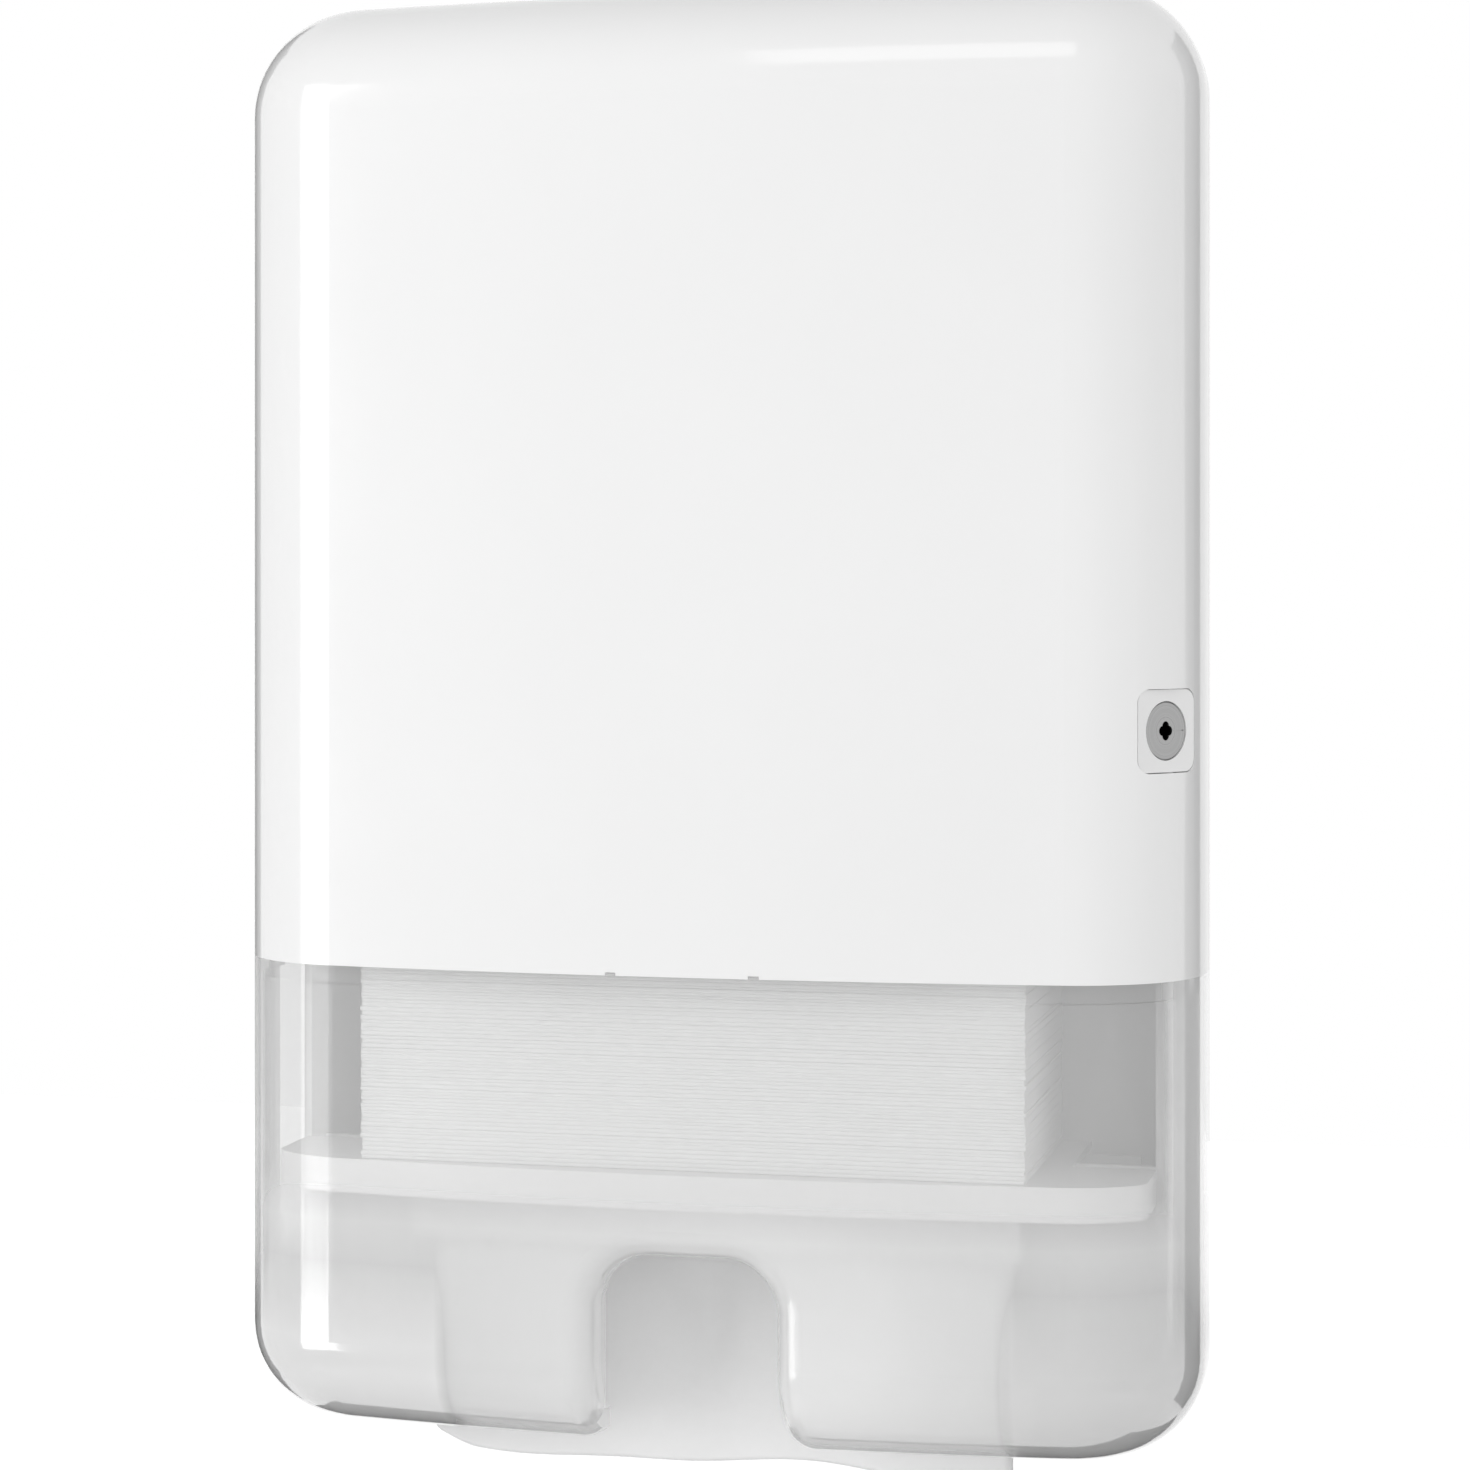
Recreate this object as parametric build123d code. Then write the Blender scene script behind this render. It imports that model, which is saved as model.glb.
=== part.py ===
from build123d import *
import os
from math import asin, cos, pi, radians, sin, sqrt

# A wall-mounted dispenser for multifold paper towels. Millimetres, +Z up, the wall is the plane Y = 0,
# the room is towards -Y, and the origin is the middle of the four wall screws on the wall plane.
# A two-tone cover (opaque above, milky below) swings on two vertical pins at its left edge, and is
# locked by a key lock let into its right corner. Behind it a shallow housing carries the tray, the
# dispensing throat and the side guides that hold the towels.

# Cover, both halves together
COVER_WIDTH = 302.0
COVER_HEIGHT = 444.0
DEPTH = 102.0
COVER_SIDE = 60.0
FRONT_RISE = 12.0
CORNER_RADIUS = 42.5
TOP_ROUND = 34.0
BOTTOM_ROUND = 29.0
COVER_WALL = 2.6
WINDOW_HEIGHT = 145.0
RIM_THICKNESS = 2.6
RIM_GAP = 2.0
UNDERSIDE_SIDE_MARGIN = 53.0
UNDERSIDE_LIP = 30.0

# Finger notch in the lower edge of the window
NOTCH_WIDTH = 55.0
NOTCH_HEIGHT = 60.0
NOTCH_CORNER = 16.0
NOTCH_ROLL = 9.0
NOTCH_RETURN = 15.0

# Joint between the two halves of the cover
TONGUE_HEIGHT = 11.0
TONGUE_THICKNESS = 1.6
TONGUE_ROOT = 6.0
PIP_OFFSET = 22.0
PIP_WIDTH = 3.0
PIP_HEIGHT = 0.8
WINDOW_SCREW_INNER_X = 60.0
WINDOW_SCREW_CORNER_MARGIN = 8.5
WINDOW_SCREW_CORNER_ANGLE = 68.0
WINDOW_BOSS_RADIUS = 3.3
WINDOW_BOSS_STEP = 0.3
WINDOW_SCREW_SKIN = 1.3

# Back housing
HOUSING_SIDE_GAP = 13.0
HOUSING_END_GAP = 12.0
HOUSING_DEPTH = 50.0
HOUSING_WALL = 2.5
HOUSING_BACK = 3.0
HOUSING_CORNER = 24.0
HOUSING_EDGE_ROUND = 1.2
HOUSING_FLANGE = 2.5
HOUSING_FLANGE_SIDE_GAP = 7.3
HOUSING_FLANGE_END_GAP = 6.0
HOUSING_SLOT_MARGIN = 40.0
HOUSING_FLOOR_DEPTH = 30.0
WALL_HOLE_SPACING_X = 170.0
WALL_HOLE_SPACING_Z = 240.0
WALL_HOLE_RADIUS = 2.75
RIB_X = (-62.0, 0.0, 62.0)
RIB_THICKNESS = 2.0
RIB_TOP_MARGIN = 26.0

# Hinge, two stations on the left edge
HINGE_PIN_RADIUS = 2.0
HINGE_BARREL_RADIUS = 4.6
HINGE_WALL_GAP = 0.4
HINGE_BEHIND_RIM = 6.0
BRACKET_THICKNESS = 2.5
BRACKET_WALL_GAP = 0.05
BRACKET_FOOT = 17.4
BRACKET_SCREW_SPACING = 7.5
BRACKET_SCREW_MARGIN = 4.6
LOWER_HINGE_ABOVE_SEAM = 40.0
UPPER_HINGE_BELOW_TOP = 54.0
KNUCKLE_HEIGHT = 16.0
LUG_HEIGHT = 7.0
LUG_REACH = 18.0
PIN_HEAD_RADIUS = 3.6
PIN_HEAD_HEIGHT = 1.5
CLIP_RADIUS = 3.8
CLIP_THICKNESS = 0.6
CLIP_GROOVE_RADIUS = 1.5
PIN_TAIL = 1.4

# Key lock in the right corner of the cover
LOCK_HEIGHT = 219.0
LOCK_ANGLE = 54.2
LOCK_PLATE = 24.5
LOCK_PLATE_ROUND = 4.0
LOCK_PLATE_DEPTH = 9.5
LOCK_APERTURE_GAP = 0.2
LOCK_EAR_HALF_WIDTH = 6.0
LOCK_EAR_THICKNESS = 2.4
LOCK_SCREW_OFFSET = 19.5
LOCK_BOSS_RADIUS = 4.0
LOCK_BARREL_RADIUS = 11.0
LOCK_BODY_DEPTH = 13.9
ROTOR_RADIUS = 8.75
ROTOR_RECESS = 0.2
ROTOR_DISC_DEPTH = 5.0
ROTOR_STEM_RADIUS = 6.0
ROTOR_SQUARE = 6.0
SOCKET_LOBE_RADIUS = 1.45
SOCKET_LOBE_OFFSET = 1.4
SOCKET_DEPTH = 6.0
INDEX_WIDTH = 0.4
INDEX_DEPTH = 0.3
CAM_THICKNESS = 2.0
CAM_HUB_RADIUS = 6.5
CAM_WIDTH = 8.0
CAM_REACH = 17.0
CAM_WASHER_RADIUS = 5.5
CAM_WASHER_THICKNESS = 0.8

# Keeper that the locked cam stands behind
KEEPER_HEIGHT = 22.0
KEEPER_PLATE = 2.5
KEEPER_PAD = 4.0
KEEPER_LENGTH = 25.0
KEEPER_SET_BACK = 3.0
KEEPER_ARM = 5.0
KEEPER_NOSE_THICKNESS = 1.7
KEEPER_NOSE_HALF_WIDTH = 4.0
KEEPER_NOSE_DROP = 6.0
KEEPER_SCREW_SPACING = 13.0

# Tray and dispensing throat
TRAY_TOP = 85.0
TRAY_FLOOR = 2.4
TRAY_FRONT_GAP = 5.0
TRAY_APRON_HEIGHT = 10.5
TRAY_APRON_THICKNESS = 2.2
TRAY_END_GAP = 2.0
TRAY_CORNER = 8.0
TRAY_SHELF_MARGIN = 25.5
TRAY_PANEL_BEHIND_THROAT = 1.5
TRAY_PANEL_THICKNESS = 2.0
TRAY_PANEL_GAP = 1.5
TRAY_FLANGE_HEIGHT = 20.0
TRAY_FLANGE_THICKNESS = 2.4
TRAY_SCREW_SIDE_MARGIN = 17.5
TRAY_SCREW_INNER_X = 45.0
TRAY_SCREW_DROP = 13.0
TRAY_BOSS_LENGTH = 10.0
THROAT_BEHIND_FRONT = 46.0
THROAT_SIDE_GAP = 2.5
THROAT_MOUTH = 25.0
THROAT_SLOT = 15.0
THROAT_TAPER = 1.0
THROAT_WALL = 2.0
THROAT_BOTTOM = 57.0
THROAT_EAR_DROP = 6.0
THROAT_EAR_THICKNESS = 2.3
THROAT_EAR_LENGTH = 12.0
THROAT_SCREW_SPACING = 14.0
THROAT_BOSS_RADIUS = 3.5

# Side guides
GUIDE_THICKNESS = 2.0
GUIDE_WALL_GAP = 13.5
GUIDE_TOWEL_GAP = 2.5
GUIDE_ABOVE_TRAY = 77.0
GUIDE_TOP_GAP = 32.5
GUIDE_FRONT = 14.0
GUIDE_FLANGE = 16.0
GUIDE_ROUND = 12.0
GUIDE_BOSS_LENGTH = 6.0
GUIDE_SCREW_MARGIN = 20.0

# Towels
STACK_DEPTH = 81.0
STACK_HEIGHT = 285.0
STACK_BEHIND_FRONT = 12.5
STACK_TO_LEFT = 1.8
STACK_EDGE = 2.0
TAIL_SIDE_MARGIN = 11.0
TAIL_THICKNESS = 1.6
TAIL_BELOW_COVER = 12.5
TAIL_CORNER_RISE = 5.5
TAIL_WAVE = 1.8
TAIL_CURL_RADIUS = 3.0
TAIL_CURL_RETURN = 5.0

# Screws
SCREW_RADIUS = 1.5
SCREW_HEAD_RADIUS = 3.0
SCREW_HEAD_HEIGHT = 1.8
SMALL_SCREW_RADIUS = 1.25
SMALL_SCREW_HEAD_RADIUS = 4.4
SMALL_SCREW_HEAD_HEIGHT = 1.4
SCREW_BOSS_RADIUS = 4.5
THREAD_FIT = 0.02
HOLE_FIT = 0.15

# Fits
RUNNING_FIT = 0.06
MOVING_GAP = 0.3
SEAT_GAP = 0.05

half_width = COVER_WIDTH / 2
hinge_heights = {
    "lower": WINDOW_HEIGHT + LOWER_HINGE_ABOVE_SEAM,
    "upper": COVER_HEIGHT - UPPER_HINGE_BELOW_TOP,
}
z_bottom = -COVER_HEIGHT / 2
z_top = COVER_HEIGHT / 2
z_seam = z_bottom + WINDOW_HEIGHT
front_y = -DEPTH
rim_y = front_y + COVER_SIDE
front_radius = (half_width ** 2 + FRONT_RISE ** 2) / (2 * FRONT_RISE)
front_centre_y = front_y + front_radius
corner_x = half_width - CORNER_RADIUS
corner_y = front_centre_y - sqrt((front_radius - CORNER_RADIUS) ** 2 - corner_x ** 2)
front_angle = asin(corner_x / (front_radius - CORNER_RADIUS))
housing_x = half_width - HOUSING_SIDE_GAP
housing_z = COVER_HEIGHT / 2 - HOUSING_END_GAP
housing_front = -HOUSING_DEPTH
back_face = -HOUSING_BACK
wall_face = housing_x - HOUSING_WALL
hinge_x = -(housing_x + HINGE_WALL_GAP + HINGE_BARREL_RADIUS)
hinge_y = rim_y + HINGE_BEHIND_RIM
z_tray = z_bottom + TRAY_TOP
throat_y = front_y + THROAT_BEHIND_FRONT
stack_front = front_y + STACK_BEHIND_FRONT
stack_back = stack_front + STACK_DEPTH
guide_x = wall_face - GUIDE_WALL_GAP - GUIDE_FLANGE
stack_width = 2 * (guide_x - GUIDE_TOWEL_GAP)
tail_half_width = stack_width / 2 - TAIL_SIDE_MARGIN
throat_half_width = tail_half_width + THROAT_SIDE_GAP
tray_screw_outer_x = wall_face - TRAY_SCREW_SIDE_MARGIN
tray_screw_x = (-tray_screw_outer_x, -TRAY_SCREW_INNER_X, TRAY_SCREW_INNER_X, tray_screw_outer_x)
window_screw_outer_x = corner_x - WINDOW_SCREW_CORNER_MARGIN
window_screw_x = (-window_screw_outer_x, -WINDOW_SCREW_INNER_X, WINDOW_SCREW_INNER_X, window_screw_outer_x)
z_lock = z_bottom + LOCK_HEIGHT
cam_front = LOCK_BODY_DEPTH + MOVING_GAP
cam_back = cam_front + CAM_THICKNESS
washer_back = cam_back + CAM_WASHER_THICKNESS


def prism(x, y, z):
    """A box between pairs of low and high values on each axis."""
    size = [high - low for low, high in (x, y, z)]
    middle = [(high + low) / 2 for low, high in (x, y, z)]
    return Pos(*middle) * Box(*size)


def rod(frame, radius, start, end):
    """A cylinder on a frame's z axis between two heights."""
    return frame * Pos(0, 0, (start + end) / 2) * Cylinder(radius, abs(end - start))


def screw(frame, radius, length, head_radius, head_height):
    """A pan-head screw that points down the frame's z axis, with its head seated on the frame."""
    head = Cylinder(head_radius, head_height, align=(Align.CENTER, Align.CENTER, Align.MIN))
    head = fillet(head.edges().group_by(Axis.Z)[-1], head_height * 0.6)
    shank = Cylinder(radius, length, align=(Align.CENTER, Align.CENTER, Align.MAX))
    bar = Box(head_radius, head_radius * 0.26, head_height * 0.5, align=(Align.CENTER, Align.CENTER, Align.MAX))
    cross = Pos(0, 0, head_height) * (bar + Rot(0, 0, 90) * bar)
    return frame * (head + shank - cross)


def standard_screw(frame, length):
    return screw(frame, SCREW_RADIUS, length, SCREW_HEAD_RADIUS, SCREW_HEAD_HEIGHT)


def corner_point(inset, angle):
    """A point of the cover's right corner arc in plan, from the front round to the side."""
    radius = CORNER_RADIUS - inset
    return (corner_x + radius * sin(angle), corner_y - radius * cos(angle))


def plan_face(inset, rear):
    """The cover's plan outline, moved inwards by inset and closed by a straight line at rear."""
    start = corner_point(inset, front_angle)
    middle = corner_point(inset, (front_angle + pi / 2) / 2)
    end = corner_point(inset, pi / 2)
    edges = [
        Line((end[0], rear), end),
        ThreePointArc(end, middle, start),
        ThreePointArc(start, (0, front_y + inset), (-start[0], start[1])),
        ThreePointArc((-start[0], start[1]), (-middle[0], middle[1]), (-end[0], end[1])),
        Line((-end[0], end[1]), (-end[0], rear)),
        Line((-end[0], rear), (end[0], rear)),
    ]
    return make_face(edges)


def cover_block(inset, rear):
    """The cover's rounded outside as one solid, or the solid that fills it, without the notch."""
    body = Pos(0, 0, z_bottom + inset) * extrude(plan_face(inset, rear), COVER_HEIGHT - 2 * inset)
    for z, radius in ((z_top - inset, TOP_ROUND - inset), (z_bottom + inset, BOTTOM_ROUND - inset)):
        loop = [e for e in body.edges() if abs(e.center().Z - z) < 0.01 and e.center().Y < rear - 0.01]
        body = fillet(loop, radius)
    return body


def notch_prism(grow, y_low, y_high):
    """The finger notch as a solid that runs from front to back, open at the bottom."""
    half = NOTCH_WIDTH / 2 + grow
    top = z_bottom + NOTCH_HEIGHT + grow
    body = prism((-half, half), (y_low, y_high), (z_bottom - BOTTOM_ROUND, top))
    upper = [e for e in body.edges().filter_by(Axis.Y) if e.center().Z > top - 0.01]
    return fillet(upper, NOTCH_CORNER + grow)


def cover_form(inset, rear):
    """The cover's outside, or what fills it, with the surface rolling in round the notch."""
    body = cover_block(inset, rear) - notch_prism(inset, front_y - 1, rear + 1)
    half = NOTCH_WIDTH / 2 + inset
    top = z_bottom + NOTCH_HEIGHT + inset
    rolled = []
    for edge in body.edges():
        middle = edge.center()
        if middle.Z > top + 0.01 or abs(middle.X) > half + 0.01 or middle.Y > rear - 0.01:
            continue
        along_y = edge.geom_type == GeomType.LINE and abs((edge @ 1 - edge @ 0).Y) > NOTCH_ROLL / 2
        if along_y and middle.Z > z_bottom + inset + 0.5:
            continue
        rolled.append(edge)
    return fillet(rolled, NOTCH_ROLL - inset)


def cover_shell():
    """The whole cover as a thin shell: skin, rolled notch, rear rim and open underside."""
    outer = cover_form(0, rim_y)
    shell = outer - cover_form(COVER_WALL, rim_y + COVER_SIDE / 6)
    half = NOTCH_WIDTH / 2 + COVER_WALL + 0.01
    above = z_bottom + NOTCH_HEIGHT + COVER_WALL + 0.01
    shell -= prism((-half, half), (front_y + NOTCH_RETURN, rim_y + 1), (z_bottom - 1, above))
    window_x = housing_x + RIM_GAP
    window_z = housing_z + RIM_GAP
    hole = prism((-window_x, window_x), (rim_y - RIM_THICKNESS - 1, rim_y + 1), (-window_z, window_z))
    hole = fillet(hole.edges().filter_by(Axis.Y), HOUSING_CORNER + RIM_GAP)
    rim = outer & prism((-half_width, half_width), (rim_y - RIM_THICKNESS, rim_y), (z_bottom, z_top))
    shell += rim - hole
    underside = half_width - UNDERSIDE_SIDE_MARGIN
    y_open = front_y + UNDERSIDE_LIP
    shell -= prism((-underside, underside), (y_open, rim_y + 1), (z_bottom - 1, z_bottom + BOTTOM_ROUND / 2))
    return shell


def front_frame(x, inset, z):
    """A frame on the cover's front, z axis inwards, at a place in x."""
    angle = asin(x / front_radius)
    radius = front_radius - inset
    origin = (radius * sin(angle), front_centre_y - radius * cos(angle), z)
    return Plane(origin=origin, x_dir=(cos(angle), sin(angle), 0), z_dir=(-sin(angle), cos(angle), 0))


def corner_frame(side, angle, inset, z):
    """A frame on one of the cover's corner arcs, z axis inwards."""
    x, y = corner_point(inset, angle)
    z_dir = (-side * sin(angle), cos(angle), 0)
    return Plane(origin=(side * x, y, z), x_dir=(cos(angle), side * sin(angle), 0), z_dir=z_dir)


def window_screw_frames(inset):
    z = z_seam + TONGUE_HEIGHT / 2
    frames = [front_frame(x, inset, z) for x in window_screw_x]
    angle = radians(WINDOW_SCREW_CORNER_ANGLE)
    return frames + [corner_frame(side, angle, inset, z) for side in (-1, 1)]


tongue_outside = COVER_WALL + HOLE_FIT
tongue_inside = tongue_outside + TONGUE_THICKNESS
boss_end = tongue_inside + WINDOW_BOSS_STEP


def lock_frame():
    """The frame on the lock plate: x runs level towards the wall, y up and z out of the plate."""
    angle = radians(LOCK_ANGLE)
    reach = sqrt(CORNER_RADIUS ** 2 - (LOCK_PLATE / 2) ** 2)
    origin = (corner_x + reach * sin(angle), corner_y - reach * cos(angle), z_lock)
    return Plane(origin=origin, x_dir=(cos(angle), sin(angle), 0), z_dir=(sin(angle), -cos(angle), 0))


def lock_block(grow, start, end):
    """The lock plate's rounded square between two depths below its face."""
    size = LOCK_PLATE + 2 * grow
    block = Box(size, size, end - start, align=(Align.CENTER, Align.CENTER, Align.MAX))
    block = fillet(block.edges().filter_by(Axis.Z), LOCK_PLATE_ROUND + grow)
    return lock_frame() * Pos(0, 0, -start) * block


def lock_screw_frames(depth):
    """Frames for the two lock screws: z axis inwards from the lock plate."""
    plate = lock_frame()
    frames = []
    for side in (-1, 1):
        origin = plate.from_local_coords((0, side * LOCK_SCREW_OFFSET, -depth))
        frames.append(Plane(origin=origin, x_dir=plate.x_dir, z_dir=-plate.z_dir))
    return frames


ear_top = LOCK_PLATE_DEPTH - LOCK_EAR_THICKNESS


def hinge_frame(height):
    return Plane(origin=(hinge_x, hinge_y, z_bottom + height), x_dir=(1, 0, 0), z_dir=(0, 0, 1))


def hinge_lug(low, high):
    """One lug of the cover: a barrel on the hinge axis and the web that joins it to the side wall."""
    skin = -half_width + COVER_WALL / 2
    rim_front = rim_y - RIM_THICKNESS / 2
    inner = hinge_x + HINGE_BARREL_RADIUS / 2
    outline = [(skin, rim_front - LUG_REACH), (skin, rim_front), (hinge_x - HINGE_BARREL_RADIUS, hinge_y),
               (inner, hinge_y), (inner, rim_front)]
    web = Pos(0, 0, low) * extrude(make_face(Polyline(*outline, close=True)), high - low)
    frame = Plane(origin=(hinge_x, hinge_y, 0))
    return web + rod(frame, HINGE_BARREL_RADIUS, low, high)


def upper_cover(shell):
    body = shell & prism((-COVER_WIDTH, COVER_WIDTH), (-COVER_WIDTH, COVER_WIDTH), (z_seam, z_top + 1))
    half_knuckle = KNUCKLE_HEIGHT / 2 + MOVING_GAP
    for height in hinge_heights.values():
        z = z_bottom + height
        body += hinge_lug(z + half_knuckle, z + half_knuckle + LUG_HEIGHT)
        body += hinge_lug(z - half_knuckle - LUG_HEIGHT, z - half_knuckle)
        reach = half_knuckle + LUG_HEIGHT + 1
        body -= rod(hinge_frame(height), HINGE_PIN_RADIUS + RUNNING_FIT, -reach, reach)
    for frame in window_screw_frames(COVER_WALL / 2):
        body += rod(frame, WINDOW_BOSS_RADIUS, 0, boss_end - COVER_WALL / 2)
    for frame in window_screw_frames(boss_end):
        body -= rod(frame, SMALL_SCREW_RADIUS + THREAD_FIT, WINDOW_SCREW_SKIN - boss_end, 1)
    for frame in lock_screw_frames(0):
        body += rod(frame, LOCK_BOSS_RADIUS, 0, ear_top - SEAT_GAP)
        body -= rod(frame, SCREW_RADIUS + THREAD_FIT, COVER_WALL / 2, ear_top + 1)
    body -= lock_block(LOCK_APERTURE_GAP, -COVER_WALL, 2 * COVER_WALL)
    for x in (-PIP_OFFSET, PIP_OFFSET):
        body -= pip(x, HOLE_FIT)
    return body


def pip(x, grow):
    """A locating pip of the window, or with grow the notch in the upper cover that takes it."""
    half = PIP_WIDTH / 2 + grow
    block = prism((x - half, x + half), (front_y - 1, front_y + FRONT_RISE), (z_seam - 1, z_seam + PIP_HEIGHT + grow))
    skin = plan_face(grow * -1, rim_y) - plan_face(COVER_WALL + grow, rim_y + 1)
    return block & (Pos(0, 0, z_seam - 1) * extrude(skin, PIP_HEIGHT + 2))


def tongue():
    """The window's upstanding edge that slides up behind the upper cover."""
    rear = rim_y - RIM_THICKNESS - MOVING_GAP
    high = plan_face(tongue_outside, rear) - plan_face(tongue_inside, rear + 1)
    low = plan_face(COVER_WALL / 2, rear) - plan_face(tongue_inside, rear + 1)
    band = Pos(0, 0, z_seam) * extrude(high, TONGUE_HEIGHT)
    root = Pos(0, 0, z_seam - TONGUE_ROOT) * extrude(low, TONGUE_ROOT)
    return band + root


def cover_window(shell):
    body = shell & prism((-COVER_WIDTH, COVER_WIDTH), (-COVER_WIDTH, COVER_WIDTH), (z_bottom - 1, z_seam))
    band = tongue()
    for frame in window_screw_frames(0):
        band -= rod(frame, WINDOW_BOSS_RADIUS + HOLE_FIT, 0, boss_end + 1)
    body += band
    for x in (-PIP_OFFSET, PIP_OFFSET):
        body += pip(x, 0)
    return body


def window_screws():
    length = boss_end - WINDOW_SCREW_SKIN - MOVING_GAP
    frames = window_screw_frames(boss_end + SEAT_GAP)
    return [screw(f, SMALL_SCREW_RADIUS, length, SMALL_SCREW_HEAD_RADIUS, SMALL_SCREW_HEAD_HEIGHT) for f in frames]


def lock_housing():
    plate = lock_frame()
    body = lock_block(0, 0, LOCK_PLATE_DEPTH)
    reach = LOCK_SCREW_OFFSET + LOCK_EAR_HALF_WIDTH
    ear = Box(2 * LOCK_EAR_HALF_WIDTH, 2 * reach, LOCK_EAR_THICKNESS, align=(Align.CENTER, Align.CENTER, Align.MIN))
    ear = fillet(ear.edges().filter_by(Axis.Z), LOCK_EAR_HALF_WIDTH * 0.8)
    body += plate * Pos(0, 0, -LOCK_PLATE_DEPTH) * ear
    body += rod(plate, LOCK_BARREL_RADIUS, -LOCK_PLATE_DEPTH - (LOCK_BODY_DEPTH - LOCK_PLATE_DEPTH), -LOCK_PLATE_DEPTH)
    body -= rod(plate, ROTOR_RADIUS + RUNNING_FIT, -ROTOR_DISC_DEPTH, 1)
    body -= rod(plate, ROTOR_STEM_RADIUS + RUNNING_FIT, -LOCK_BODY_DEPTH - 1, -ROTOR_DISC_DEPTH + 1)
    for frame in lock_screw_frames(0):
        body -= rod(frame, SCREW_RADIUS + HOLE_FIT, 0, LOCK_PLATE_DEPTH + 1)
    return body


def lock_screws():
    frames = lock_screw_frames(LOCK_PLATE_DEPTH)
    return [standard_screw(f, LOCK_PLATE_DEPTH - COVER_WALL / 2 - MOVING_GAP) for f in frames]


def lock_rotor():
    """The metal key cylinder: disc, stem, square end, four-lobed key socket and index line."""
    plate = lock_frame()
    disc = Pos(0, 0, -ROTOR_RECESS) * Cylinder(
        ROTOR_RADIUS, ROTOR_DISC_DEPTH - ROTOR_RECESS - SEAT_GAP, align=(Align.CENTER, Align.CENTER, Align.MAX))
    disc = chamfer(disc.edges().group_by(Axis.Z)[-1], 0.4)
    body = plate * disc
    body += rod(plate, ROTOR_STEM_RADIUS, -cam_front + SEAT_GAP, -ROTOR_DISC_DEPTH / 2)
    square_length = cam_back - SEAT_GAP - ROTOR_DISC_DEPTH
    square = Box(ROTOR_SQUARE, ROTOR_SQUARE, square_length, align=(Align.CENTER, Align.CENTER, Align.MIN))
    body += plate * Pos(0, 0, -cam_back + SEAT_GAP) * square
    depth = ROTOR_RECESS + SOCKET_DEPTH
    lobes = [(SOCKET_LOBE_OFFSET, 0), (-SOCKET_LOBE_OFFSET, 0), (0, SOCKET_LOBE_OFFSET), (0, -SOCKET_LOBE_OFFSET)]
    for x, y in lobes:
        body -= plate * Pos(x, y, 1 - (depth + 1) / 2) * Cylinder(SOCKET_LOBE_RADIUS, depth + 1)
    start = SOCKET_LOBE_OFFSET + SOCKET_LOBE_RADIUS + 0.5
    line = Box(ROTOR_RADIUS - start - 1, INDEX_WIDTH, 1, align=(Align.MIN, Align.CENTER, Align.MIN))
    body -= plate * Pos(start, 0, -ROTOR_RECESS - INDEX_DEPTH) * line
    pilot = cam_back - SOCKET_DEPTH - ROTOR_RECESS - 2
    body -= rod(plate, SCREW_RADIUS + THREAD_FIT, -cam_back - 1, -cam_back + pilot)
    return body


def lock_cam():
    """The cam, drawn unlocked: its tongue points forwards, clear of the keeper."""
    align = (Align.CENTER, Align.CENTER, Align.MAX)
    hub = Cylinder(CAM_HUB_RADIUS, CAM_THICKNESS, align=align)
    bar_length = CAM_REACH - CAM_WIDTH / 2
    bar = Pos(-bar_length / 2, 0, 0) * Box(bar_length, CAM_WIDTH, CAM_THICKNESS, align=align)
    tip = Pos(-bar_length, 0, 0) * Cylinder(CAM_WIDTH / 2, CAM_THICKNESS, align=align)
    side = ROTOR_SQUARE + 2 * SEAT_GAP
    hole = Pos(0, 0, 1) * Box(side, side, CAM_THICKNESS + 2, align=align)
    return lock_frame() * Pos(0, 0, -cam_front) * (hub + bar + tip - hole)


def cam_washer():
    plate = lock_frame()
    ring = rod(plate, CAM_WASHER_RADIUS, -washer_back, -cam_back)
    return ring - rod(plate, SCREW_RADIUS + HOLE_FIT, -washer_back - 1, -cam_back + 1)


def cam_screw():
    plate = lock_frame()
    seat = Plane(origin=plate.from_local_coords((0, 0, -washer_back)), x_dir=plate.x_dir, z_dir=-plate.z_dir)
    length = washer_back - SOCKET_DEPTH - ROTOR_RECESS - 2 - 2 * MOVING_GAP
    return standard_screw(seat, length)


def hinge_pin(height):
    """A headed pin, pressed in its bracket's knuckle, with a groove for its clip."""
    frame = hinge_frame(height)
    stack = KNUCKLE_HEIGHT / 2 + MOVING_GAP + LUG_HEIGHT + MOVING_GAP
    pin = rod(frame, HINGE_PIN_RADIUS, -stack - CLIP_THICKNESS - PIN_TAIL, stack)
    head = rod(Plane(origin=(0, 0, 0)), PIN_HEAD_RADIUS, 0, PIN_HEAD_HEIGHT)
    head = fillet(head.edges().group_by(Axis.Z)[-1], PIN_HEAD_HEIGHT * 0.6)
    pin += frame * Pos(0, 0, stack) * head
    groove = rod(frame, HINGE_PIN_RADIUS + 1, -stack - CLIP_THICKNESS, -stack)
    groove -= rod(frame, CLIP_GROOVE_RADIUS, -stack - CLIP_THICKNESS, -stack)
    return pin - groove


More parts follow.
